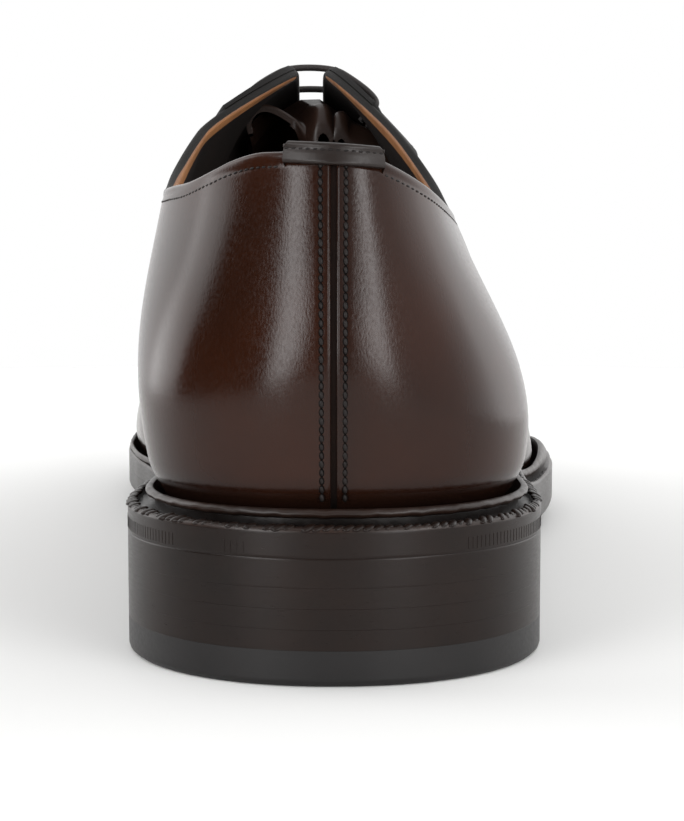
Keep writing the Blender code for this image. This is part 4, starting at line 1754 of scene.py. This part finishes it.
@dataclass
class Welt:
    """Storm welt: a shelf with a wheeled edge and a rounded bead that leans on the upper."""

    edge_high: float = 4.8
    groove: float = 0.9
    bead_high: float = 3.0
    bead_heel: float = 1.35
    bead_sink: float = 0.55
    bead_ball: float = 0.8
    bead_gap: float = 0.48
    stand: float = 2.6
    turned_at: float = 7.9
    turned_wide: float = 0.9
    filled: float = 0.85
    # Painted shade in the groove under the bead, less where the groove is filled.
    groove_shade: float = 0.8
    tooth_inset: float = 0.75
    tooth_sink: float = 0.12
    tooth_lean: float = 0.35
    mark_high: float = 1.35
    ridge_heel: float = 1.1
    ridge_ball: float = 0.6
    marked: tuple[tuple[float, float], ...] = ((-6.0, -1.02), (-0.62, -0.5), (0.8, 6.0))

    EDGE_COLUMNS = 5
    CORNER_COLUMN = 6
    GROOVE_COLUMNS = slice(9, 12)
    CREST_COLUMN = 17
    WELT_SLOT = 0
    EDGE_SLOT = 1

    def ways(self) -> Array:
        """Ways all round the shoe, close together at heel and toe."""
        return np.linspace(-TOE, TOE, 620, endpoint=False)

    def walls(self, ways: Array) -> tuple[Array, Array]:
        """Heights and reaches of the upper's face over the welt's base, a row for each way.

        Args:
            ways: Ways round the shoe.

        Returns:
            Heights and reaches.
        """
        shares = np.linspace(0.0, 0.4, 16)
        base = LAST.foot(ways)[:, None]
        near = LAST.skin(ways[:, None], shares[None, :]) - base
        reach = np.einsum("ijk,ik->ij", near, LAST.outward(ways))
        return near[..., 2], reach

    def build(self) -> bpy.types.Object:
        """The welt as a closed ring.

        Returns:
            The piece, in the scene.
        """
        ways = self.ways()
        heights, reaches = self.walls(ways)

        def wall(height: float) -> Array:
            """Distance of the upper's face at a height."""
            return np.array([np.interp(height, h, r) for h, r in zip(heights, reaches)]) + self.bead_gap

        edge = LAST.reach(ways)
        bead = LAST.towards_ball(self.bead_heel, self.bead_ball, ways)
        ridge = LAST.towards_ball(self.ridge_heel, self.ridge_ball, ways)
        high = self.edge_high
        low = high - self.groove
        crest = high + self.bead_high
        turned = swell(ways, self.turned_at, self.turned_wide)
        stand = self.stand * turned - self.bead_sink * (1.0 - ease(np.abs(ways), 3.0, 6.0))
        shelf = (
            (edge - 0.04, -LAST.gap / 2.0),
            (edge, 0.04 - LAST.gap / 2.0),
            (edge, 0.3),
            (edge, high - 1.0),
            (edge, high - 0.7),
            (edge - 0.12, high - 0.25),
            (edge - 0.4, high - 0.02),
            (edge - ridge, high - 0.1),
            (edge - ridge * 1.25, high - 0.5),
            (edge - ridge * 1.45, low),
            (wall(high) + bead * 0.3, low),
        )
        sway = 0.09 * np.sin(31.0 * ways) + 0.07 * np.sin(53.0 * ways + 1.0)
        roll = (
            (wall(high) + bead * 0.3, high + 0.85),
            (wall(high + 1.2) + bead * 0.65, high + 1.05 + sway),
            (wall(high + 1.5) + bead * 0.98, high + 1.4 + sway),
            (wall(high + 1.9) + bead * 1.1, high + 1.9 + sway),
            (wall(high + 2.4) + bead * 1.0, high + 2.4 + sway),
            (wall(high + 2.8) + bead * 0.7, high + 2.8 + sway),
            (wall(crest) + bead * 0.35, crest),
            (wall(crest) - 0.1, crest - 0.15),
            (wall(crest) - 0.35, crest - 0.8),
            (wall(high) - 0.45, high),
            (wall(0.0) + 0.2, -LAST.gap / 2.0),
        )
        out = LAST.outward(ways)
        foot = LAST.foot(ways)
        columns = []
        for reach, height in shelf:
            columns.append(LAST.rim(ways, edge - reach, LAST.outsole_thick + LAST.gap + height))
        for reach, height in roll:
            taller = height + stand * ease(height, high, crest)
            columns.append(foot + out * reach[:, None] + UP * taller[:, None])
        grid = np.stack(columns, 1)
        draft = Draft()
        fill = self.filled * turned
        self.round_over(grid, fill)
        dye_and_shade = np.zeros(grid.shape[:2])
        # Painted shade in the groove.
        dye_and_shade[:, self.GROOVE_COLUMNS] = self.groove_shade * (1.0 - fill[:, None])
        numbers = draft.place(grid, dye_and_shade)
        ring = np.concatenate((numbers, numbers[:1]))
        ring = np.concatenate((ring, ring[:, :1]), 1)
        draft.cover(ring[:, : self.EDGE_COLUMNS], self.EDGE_SLOT)
        draft.cover(ring[:, self.EDGE_COLUMNS - 1 :], self.WELT_SLOT)
        return draft.finish("storm_welt", WELT_WAX, EDGE_WAX)

    def round_over(self, grid: Array, fill: Array) -> None:
        """Fills the groove where the welt is turned up, so that shelf and bead are one round face.

        Args:
            grid: The ring's points, changed in place.
            fill: How far the groove is filled at each way.
        """
        first, last = self.CORNER_COLUMN, self.CREST_COLUMN
        start, end = grid[:, first].copy(), grid[:, last].copy()
        for column in range(first + 1, last):
            turn = (column - first) / (last - first) * math.pi / 2.0
            share = np.array((1.0 - math.cos(turn), 1.0 - math.cos(turn), math.sin(turn)))
            arc = start + (end - start) * share
            grid[:, column] += (arc - grid[:, column]) * fill[:, None]

    def tooth_rows(self, start: float, end: float) -> list[Row]:
        """Line along the shelf's outer corner between two ways, facing up and out.

        Args:
            start: First way.
            end: Last way.

        Returns:
            The line.
        """
        ways = np.linspace(start, end, 400)
        lift = LAST.outsole_thick + LAST.gap + self.edge_high - self.tooth_sink
        points = LAST.rim(ways, self.tooth_inset, lift)
        return [Row(points, unit(UP + self.tooth_lean * LAST.outward(ways)))]

    def mark_rows(self) -> list[Row]:
        """Lines along the welt's edge, facing out, where the wheel's marks have stayed.

        Returns:
            The lines.
        """
        rows = []
        for start, end in self.marked:
            ways = np.linspace(start, end, 200)
            points = LAST.rim(ways, -0.005, LAST.outsole_thick + LAST.gap + self.mark_high)
            rows.append(Row(points, LAST.outward(ways)))
        return rows


@dataclass
class Bottom:
    """Outsole, heel lifts, top piece and insole."""

    top_piece: float = 5.8
    lifts: int = 3
    lift_thick: float = 3.1
    insole_thick: float = 3.0
    insole_clear: float = 0.9
    insole_round: float = 0.6
    wall: float = 2.2
    step: float = 0.9
    edge_round: float = 1.3
    hairline: float = 0.022

    def breast(self) -> float:
        """Way of the heel's straight front."""
        start, end = SECTIONS[HEEL_ROWS].edge_y, SECTIONS[HEEL_ROWS + 1].edge_y
        return HEEL_ROWS + (LAST.heel_breast - start) / (end - start)

    def outsole(self) -> bpy.types.Object:
        """Outsole with a rounded lower edge.

        Returns:
            The piece, in the scene.
        """
        draft = Draft()
        ways = np.linspace(-TOE, TOE, 520, endpoint=False)
        thick = LAST.outsole_thick
        seat = LAST.gap / 2.0
        past_heel = ease(np.abs(ways), self.breast() - 0.1, self.breast() + 0.3)
        round_edge = self.hairline + (self.edge_round - self.hairline) * past_heel
        low = ((1.0, 0.0), (0.54, 0.06), (0.2, 0.3), (0.03, 0.7), (0.0, 1.0))
        columns = [LAST.rim(ways, inset * round_edge, lift * round_edge - seat) for inset, lift in low]
        columns += [LAST.rim(ways, 0.0, round_edge + 0.2), LAST.rim(ways, 0.0, thick - 0.2)]
        columns.append(LAST.rim(ways, 0.0, thick + seat - self.hairline))
        columns.append(LAST.rim(ways, self.hairline, thick + seat))
        grid = np.stack(columns, 1)
        grid[..., 2] = np.maximum(grid[..., 2], 0.0)
        numbers = draft.place(grid)
        draft.cover(np.concatenate((numbers, numbers[:1])))
        half = len(ways) // 2
        across = np.linspace(0.0, 1.0, 30)[None, :, None]
        for column, lift in ((0, -seat), (-1, thick + seat)):
            medial = grid[: half + 1, column][::-1]
            lateral = np.concatenate((grid[half:, column], grid[:1, column]))
            sheet = medial[:, None] + (lateral - medial)[:, None] * across
            inner = sheet[:, 1:-1]
            inner[..., 2] = np.maximum(LAST.tread(inner[..., 0], inner[..., 1]) + lift, 0.0)
            cap = draft.place(sheet)
            draft.cover(cap[::-1] if lift < 0.0 else cap)
        return draft.finish("outsole_leather", EDGE_WAX)

    def slab(
        self, name: str, low: float, high: float, profile: Sequence[tuple[float, float]], finish: Finish
    ) -> bpy.types.Object:
        """Layer of the heel, cut straight across at the breast.

        Args:
            name: The piece's name.
            low: Height of its underside.
            high: Height of its upper face.
            profile: Inset and height over low or, when negative, under high, from the underside up.
            finish: Its finish.

        Returns:
            The piece.
        """
        draft = Draft()
        ways = np.linspace(-self.breast(), self.breast(), 150)
        columns = []
        for inset, height in profile:
            plan = LAST.edge(ways) - LAST.outward(ways)[:, :2] * inset
            z = np.full((len(ways), 1), (high if height < 0.0 else low) + height)
            if height == 0.0 and columns:
                z[:] = high
            columns.append(np.concatenate((plan, z), 1))
        numbers = draft.place(np.stack(columns, 1))
        draft.cover(np.concatenate((numbers, numbers[:1])))
        draft.fan(numbers[:, 0], flip=True)
        draft.fan(numbers[:, -1])
        return draft.finish(name, finish, sharp=35.0)

    def heel(self) -> list[bpy.types.Object]:
        """Rubber top piece and the leather lifts over it, a hairline apart.

        Returns:
            The pieces, from the floor up.
        """
        seat = LAST.gap / 2.0
        fine = self.hairline
        top = ((0.0, -fine - 0.2), (0.0, -fine), (fine, 0.0))
        bevel = ((1.0, 0.0), (0.55, 0.15), (0.15, 0.5), (0.0, 1.0), (0.0, 1.3), *top)
        rubber = self.slab("heel_rubber", 0.0, self.top_piece + seat, bevel, RUBBER)
        pieces = [settle(rubber, "rubber", "top_piece")]
        edge = ((fine, 0.0), (0.0, fine), (0.0, fine + 0.2), *top)
        z = self.top_piece + LAST.gap
        for i in range(self.lifts):
            piece = self.slab(f"lift_leather_{i + 1}", z - seat, z + self.lift_thick + seat, edge, EDGE_WAX)
            pieces.append(settle(piece, "sole_leather", f"heel_lift_{i + 1}"))
            z += self.lift_thick + LAST.gap
        return pieces

    def insole(self) -> bpy.types.Object:
        """Insole inside the upper, its rim rounded.

        Returns:
            The piece, in the scene.
        """
        draft = Draft()
        span = np.linspace(0.0, TOE, 200)[:, None]
        across = np.linspace(-1.0, 1.0, 31)[None, :]
        stepped = self.step * ease(span, LAST.quarter_end - 0.5, LAST.quarter_end)
        inset = self.wall + stepped + self.insole_clear
        left = LAST.foot(-span, inset)
        right = LAST.foot(span, inset)
        plan = left + (right - left) * ((across + 1.0) / 2.0)[..., None]
        base = LAST.tread(plan[..., 0], plan[..., 1]) + LAST.outsole_thick + LAST.gap
        low = plan.copy()
        low[..., 2] = base
        high = plan.copy()
        high[..., 2] = base + self.insole_thick - self.insole_round * np.abs(across) ** 16
        draft.shell(draft.place(high), draft.place(low))
        return draft.finish("insole_leather", INSOLE)


class Bar(NamedTuple):
    """Bar of the lacing: row, side where it comes out, next row, and its step aside on the way inside."""

    row: int
    side: Side
    next_row: int
    sidestep: int


@dataclass
class Lace:
    """Waxed lace through the eyelets, in straight bars, with its ends at the top eyelets."""

    radius: float = 0.75
    set_in: float = 0.125
    over: float = 2.6
    under: float = -3.6
    sidestep: float = 0.032
    hole: float = 1.55
    awl: float = 14.0
    sides: int = 14
    stations: tuple[float, ...] = (5.24, 5.56, 5.88, 6.2, 6.52)
    bars: tuple[Bar, ...] = (
        Bar(0, Side.LATERAL, 2, -1),
        Bar(2, Side.MEDIAL, 4, 1),
        Bar(4, Side.LATERAL, 3, 0),
        Bar(3, Side.MEDIAL, 1, -1),
        Bar(1, Side.LATERAL, 0, 1),
    )

    def route(self) -> Array:
        """Points of the lace: bars over the facings, runs between rows inside.

        Returns:
            Points.
        """
        hole = 1.0 - self.set_in
        over_shares = (hole + 0.028, 0.95, 0.995)
        spots: list[tuple[float, float, float]] = []
        for bar in self.bars:
            near = self.stations[bar.row] * bar.side.value
            rise = [(near, hole, level) for level in (self.under, 0.0, self.over - 0.6)]
            half = [(near, share, self.over) for share in over_shares]
            spots += rise + half
            spots += [(-way, share, level) for way, share, level in reversed(half)]
            spots += [(-way, share, level) for way, share, level in reversed(rise)]
            run = np.linspace(self.stations[bar.row], self.stations[bar.next_row], 5)[1:-1]
            aside = hole + self.sidestep * bar.sidestep
            spots += [(-station * bar.side.value, aside, self.under) for station in run]
        table = np.array(spots)
        return LAST.off(table[:, 0], table[:, 1], table[:, 2])

    def build(self) -> bpy.types.Object:
        """The lace as one round tube.

        Returns:
            The piece, in the scene.
        """
        points = self.route()
        for _ in range(3):
            points = cut_corners(points)
        along = unit(np.gradient(points, axis=0))
        across = np.cross(along[0], UP)
        turns = np.linspace(0.0, 2.0 * math.pi, self.sides, endpoint=False)
        rings = []
        for point, ahead in zip(points, along):
            across = unit(across - ahead * np.dot(across, ahead))
            other = np.cross(ahead, across)
            circle = np.cos(turns)[:, None] * across + np.sin(turns)[:, None] * other
            rings.append(point + circle * self.radius)
        draft = Draft()
        numbers = draft.place(np.stack(rings))
        draft.cover(np.concatenate((numbers, numbers[:, :1]), 1)[::-1])
        draft.fan(numbers[0])
        draft.fan(numbers[-1], flip=True)
        return draft.finish("waxed_lace", COTTON)

    def punch(self, *pieces: bpy.types.Object) -> None:
        """Cuts the eyelets out of the pieces.

        Args:
            pieces: Pieces that the lace passes through.
        """
        work = bmesh.new()
        for side in Side:
            ways = np.array(self.stations) * side.value
            share = np.full_like(ways, 1.0 - self.set_in)
            middles = LAST.to_frame(LAST.skin(ways, share))
            for middle, normal in zip(middles, LAST.normal(ways, share)):
                made = bmesh.ops.create_cone(
                    work,
                    cap_ends=True,
                    segments=24,
                    radius1=self.hole * MM,
                    radius2=self.hole * MM,
                    depth=self.awl * MM,
                )
                across = unit(np.cross(normal, UP))
                turn = np.stack((across, np.cross(normal, across), normal), 1)
                for vert in made["verts"]:
                    vert.co = turn @ np.array(vert.co) + middle
        bmesh.ops.recalc_face_normals(work, faces=work.faces)
        mesh = bpy.data.meshes.new("awl")
        work.to_mesh(mesh)
        work.free()
        awl = bpy.data.objects.new("awl", mesh)
        bpy.context.scene.collection.objects.link(awl)
        for piece in pieces:
            cut = piece.modifiers.new("eyelets", "BOOLEAN")
            cut.operation = "DIFFERENCE"
            cut.solver = "EXACT"
            cut.object = awl
            evaluated(piece)
        bpy.data.objects.remove(awl)
        bpy.data.meshes.remove(mesh)


class Wall(NamedTuple):
    """Light of the studio's walls in one direction: degrees to the right of straight behind the camera."""

    angle: float
    light: float


class Softbox(NamedTuple):
    """Bright panel, in degrees: middle, half width, blur, lean and curl of its sides, its ends; its light."""

    angle: float
    half: float
    blur: float
    lean: float
    curl: float
    lean_to: float
    low: float
    high: float
    light: float


@dataclass
class Studio:
    """Camera at the photograph's angle, white walls, soft panels and a pale floor."""

    eye: tuple[float, float, float] = (2.24, -453.0, 75.0)
    pitch: float = 84.24
    lens: float = 83.66
    sensor: float = 36.0
    floor_round: float = 520.0
    ceiling: float = 0.8
    ceiling_from: float = 30.0
    ceiling_to: float = 55.0
    floor_tone: str = "#f4f4f3"
    level: float = 10.0
    walls: tuple[Wall, ...] = (
        Wall(-180, 0.9),
        Wall(-150, 1.3),
        Wall(-128, 1.6),
        Wall(-112, 0.4),
        Wall(-100, 0.0),
        Wall(-55, 0.0),
        Wall(0, 0.2),
        Wall(45, 0.9),
        Wall(78, 1.15),
        Wall(102, 2.1),
        Wall(117, 2.8),
        Wall(145, 1.5),
        Wall(180, 0.9),
    )
    wall_light: float = 3.0
    panels: tuple[Softbox, ...] = (
        Softbox(-110.0, 15.0, 4.5, 0.9, 0.0, 13.0, -4.0, 45.0, 2.3),
        Softbox(-113.0, 17.0, 5.0, 0.9, 0.0, 13.0, 15.0, 45.0, 0.9),
        Softbox(-34.0, 9.0, 4.0, -0.46, -0.026, 40.0, -6.0, 40.0, 8.4),
        Softbox(32.7, 7.6, 4.0, 0.6, 0.02, 40.0, -5.0, 40.0, 7.6),
    )

    def camera(self) -> None:
        """Sets the camera behind the heel, a little above the ankle's height."""
        data = bpy.data.cameras.new("camera")
        data.lens = self.lens
        data.sensor_width = self.sensor
        camera = bpy.data.objects.new("camera", data)
        camera.location = [value * MM for value in self.eye]
        camera.rotation_euler = (math.radians(self.pitch), 0.0, 0.0)
        bpy.context.scene.collection.objects.link(camera)
        bpy.context.scene.camera = camera

    def light(self) -> None:
        """Lights the world by direction, with plain white where the camera looks past the shoe."""
        world = bpy.data.worlds.new("studio")
        bpy.context.scene.world = world
        world.use_nodes = True
        tree = world.node_tree
        tree.nodes.clear()
        towards = node(tree, "ShaderNodeTexCoord").outputs["Generated"]
        parts = node(tree, "ShaderNodeSeparateXYZ", {"Vector": towards}).outputs
        behind = node(tree, "ShaderNodeMath", {0: parts["Y"], 1: -1.0}, operation="MULTIPLY")
        turn = node(tree, "ShaderNodeMath", {0: parts["X"], 1: behind.outputs[0]}, operation="ARCTAN2")
        angle = node(tree, "ShaderNodeMath", {0: turn.outputs[0]}, operation="DEGREES").outputs[0]
        lift = node(tree, "ShaderNodeMath", {0: parts["Z"]}, operation="ARCSINE")
        height = node(tree, "ShaderNodeMath", {0: lift.outputs[0]}, operation="DEGREES").outputs[0]
        place = node(tree, "ShaderNodeMapRange", {"Value": angle, "From Min": -180.0, "From Max": 180.0})
        ramp = node(tree, "ShaderNodeValToRGB", {"Fac": place.outputs["Result"]})
        stops = ramp.color_ramp.elements
        for i, wall in enumerate(self.walls):
            share = (wall.angle + 180.0) / 360.0
            stop = stops[i] if i < 2 else stops.new(share)
            stop.position = share
            stop.color = (*[wall.light / self.wall_light] * 3, 1.0)
        light = node(
            tree, "ShaderNodeMath", {0: ramp.outputs["Color"], 1: self.wall_light}, operation="MULTIPLY"
        ).outputs[0]
        for panel in self.panels:
            more = self.panel(tree, panel, angle, height)
            light = node(tree, "ShaderNodeMath", {0: light, 1: more}).outputs[0]
        over = node(
            tree,
            "ShaderNodeMapRange",
            {"Value": height, "From Min": self.ceiling_from, "From Max": self.ceiling_to},
            interpolation_type="SMOOTHSTEP",
        )
        room = node(tree, "ShaderNodeMix", {0: over.outputs["Result"], 2: light, 3: self.ceiling})
        seen = node(tree, "ShaderNodeLightPath").outputs["Is Camera Ray"]
        shown = node(tree, "ShaderNodeMix", {0: seen, 2: room.outputs[0], 3: 1.0})
        sky = node(tree, "ShaderNodeBackground", {"Color": linear("#ffffff"), "Strength": shown.outputs[0]})
        node(tree, "ShaderNodeOutputWorld", {"Surface": sky.outputs["Background"]})

    def panel(
        self,
        tree: bpy.types.NodeTree,
        panel: Softbox,
        angle: bpy.types.NodeSocket,
        height: bpy.types.NodeSocket,
    ) -> bpy.types.NodeSocket:
        """Adds a panel's light.

        Args:
            tree: The world's tree.
            panel: The panel.
            angle: Direction round the studio in degrees.
            height: Direction over the horizon in degrees.

        Returns:
            Its light in that direction.
        """
        held = node(tree, "ShaderNodeMath", {0: height, 1: panel.lean_to}, operation="MINIMUM").outputs[0]
        over = node(tree, "ShaderNodeMath", {0: held, 1: self.level}, operation="SUBTRACT").outputs[0]
        slope = node(
            tree, "ShaderNodeMath", {0: over, 1: panel.curl, 2: panel.lean}, operation="MULTIPLY_ADD"
        )
        middle = node(
            tree,
            "ShaderNodeMath",
            {0: over, 1: slope.outputs[0], 2: panel.angle},
            operation="MULTIPLY_ADD",
        )
        off = node(tree, "ShaderNodeMath", {0: angle, 1: middle.outputs[0]}, operation="SUBTRACT")
        aside = node(tree, "ShaderNodeMath", {0: off.outputs[0]}, operation="ABSOLUTE")
        light: Any = panel.light
        for value, dark, bright in (
            (aside.outputs[0], panel.half + panel.blur, panel.half - panel.blur),
            (height, panel.low - panel.blur, panel.low + panel.blur),
            (height, panel.high + panel.blur, panel.high - panel.blur),
        ):
            part = node(
                tree,
                "ShaderNodeMapRange",
                {"Value": value, "From Min": dark, "From Max": bright},
                interpolation_type="SMOOTHSTEP",
            )
            light = node(
                tree, "ShaderNodeMath", {0: light, 1: part.outputs["Result"]}, operation="MULTIPLY"
            ).outputs[0]
        return light

    def floor(self) -> None:
        """Lays the pale floor."""
        mesh = bpy.data.meshes.new("floor")
        turns = np.linspace(0.0, 2.0 * math.pi, 96, endpoint=False)
        rim = self.floor_round * MM * np.stack((np.cos(turns), np.sin(turns), 0.0 * turns), 1)
        mesh.from_pydata(rim.tolist(), [], [list(range(len(rim)))])
        made = bpy.data.materials.new("pale_floor")
        made.use_nodes = True
        shader = made.node_tree.nodes["Principled BSDF"]
        shader.inputs["Base Color"].default_value = linear(self.floor_tone)
        shader.inputs["Roughness"].default_value = 0.8
        shader.inputs["Specular IOR Level"].default_value = 0.1
        mesh.materials.append(made)
        floor = bpy.data.objects.new("floor", mesh)
        bpy.context.scene.collection.objects.link(floor)

    def build(self) -> None:
        """Camera, light and floor, shown without a film look."""
        self.camera()
        self.light()
        self.floor()
        bpy.context.scene.view_settings.view_transform = "Standard"


@dataclass
class Derby:
    """The whole shoe."""

    upper: Upper = field(default_factory=Upper)
    welt: Welt = field(default_factory=Welt)
    bottom: Bottom = field(default_factory=Bottom)
    tongue: Tongue = field(default_factory=Tongue)
    tab: Tab = field(default_factory=Tab)
    lace: Lace = field(default_factory=Lace)
    facings: tuple[Facing, ...] = tuple(Facing(side) for side in Side)
    stitch: Pattern = Pattern(Bit.PILL, 1.42, 1.22, 0.64, 0.36, 10.0, 0.14)
    # Painted shade: dark pills for the awl holes between the stitches.
    hole_shade: Pattern = Pattern(Bit.PILL, 1.42, 1.5, 0.88, 0.16)
    fine_stitch: Pattern = Pattern(Bit.PILL, 1.2, 0.85, 0.36, 0.26, 6.0, 0.1)
    fine_hole_shade: Pattern = Pattern(Bit.PILL, 1.2, 1.0, 0.42, 0.12)
    tooth: Pattern = Pattern(Bit.PILL, 1.6, 2.4, 1.3, 0.75, 38.0, 0.34)
    fine_tooth: Pattern = Pattern(Bit.PILL, 1.5, 1.5, 0.75, 0.3, 32.0, 0.3)
    coarse_to: float = 2.7
    stitch_lift: float = 0.1
    fine_lift: float = 0.06
    mark: Pattern = Pattern(Bit.BLOCK, 0.95, 0.22, 2.0, 0.08)

    def build(self) -> None:
        """Makes the pieces in a shoemaker's order."""
        self.bottom.heel()
        settle(self.bottom.outsole(), "sole_leather", "outsole")
        settle(self.bottom.insole(), "insole_leather", "insole")
        settle(self.welt.build(), "sole_leather", "welt")
        quarters = self.upper.quarters()
        layers = [facing.build() for facing in self.facings]
        self.lace.punch(quarters, *layers)
        settle(quarters, "calf", "upper")
        for facing, layer in zip(self.facings, layers):
            settle(layer, "calf", f"eyestay_{facing.side.name.lower()}")
        settle(self.upper.vamp(), "calf")
        settle(self.tongue.build(), "calf", "tongue")
        settle(self.tab.build(self.upper.wall), "calf", "heel_tab")
        settle(self.lace.build(), "cotton", "lace")
        self.sew()

    def edge_rows(self, lift: float) -> list[Row]:
        """Lines of the fine stitch rows: along the collar, the quarters' fronts, the tab and the facings.

        Args:
            lift: Height of the line over the surface, in millimetres.

        Returns:
            The lines.
        """
        rows = self.upper.collar_rows(lift) + self.upper.front_rows(lift) + self.tab.rows(lift)
        for facing in self.facings:
            rows += facing.rows(lift)
        return rows

    def sew(self) -> None:
        """Lays the stitch rows with dark pills of painted shade for their awl holes, the welt's teeth and its
        edge marks.
        """
        trees = {bit: RowTree(bit) for bit in Bit}
        for name, rows, lift, pattern, finish in (
            ("seam_stitches", self.upper.seam_rows, self.stitch_lift, self.stitch, THREAD),
            ("seam_hole_shades", self.upper.seam_rows, 0.0, self.hole_shade, HOLE_SHADE),
            ("edge_stitches", self.edge_rows, self.fine_lift, self.fine_stitch, THREAD),
            ("edge_hole_shades", self.edge_rows, 0.0, self.fine_hole_shade, HOLE_SHADE),
        ):
            settle(trees[pattern.bit].lay(name, rows(lift), pattern, finish), "cotton")
        heel = self.welt.tooth_rows(-self.coarse_to, self.coarse_to)
        forepart = self.welt.tooth_rows(self.coarse_to, 2.0 * TOE - self.coarse_to)
        for name, lines, pattern in (
            ("heel_teeth", heel, self.tooth),
            ("welt_teeth", forepart, self.fine_tooth),
            ("edge_marks", self.welt.mark_rows(), self.mark),
        ):
            settle(trees[pattern.bit].lay(name, lines, pattern, EDGE_WAX), "sole_leather")


def main() -> None:
    """Builds the studio and the shoe."""
    logging.basicConfig(level=logging.INFO, format="%(name)s: %(message)s")
    Studio().build()
    Derby().build()


if __name__ == "__main__":
    main()
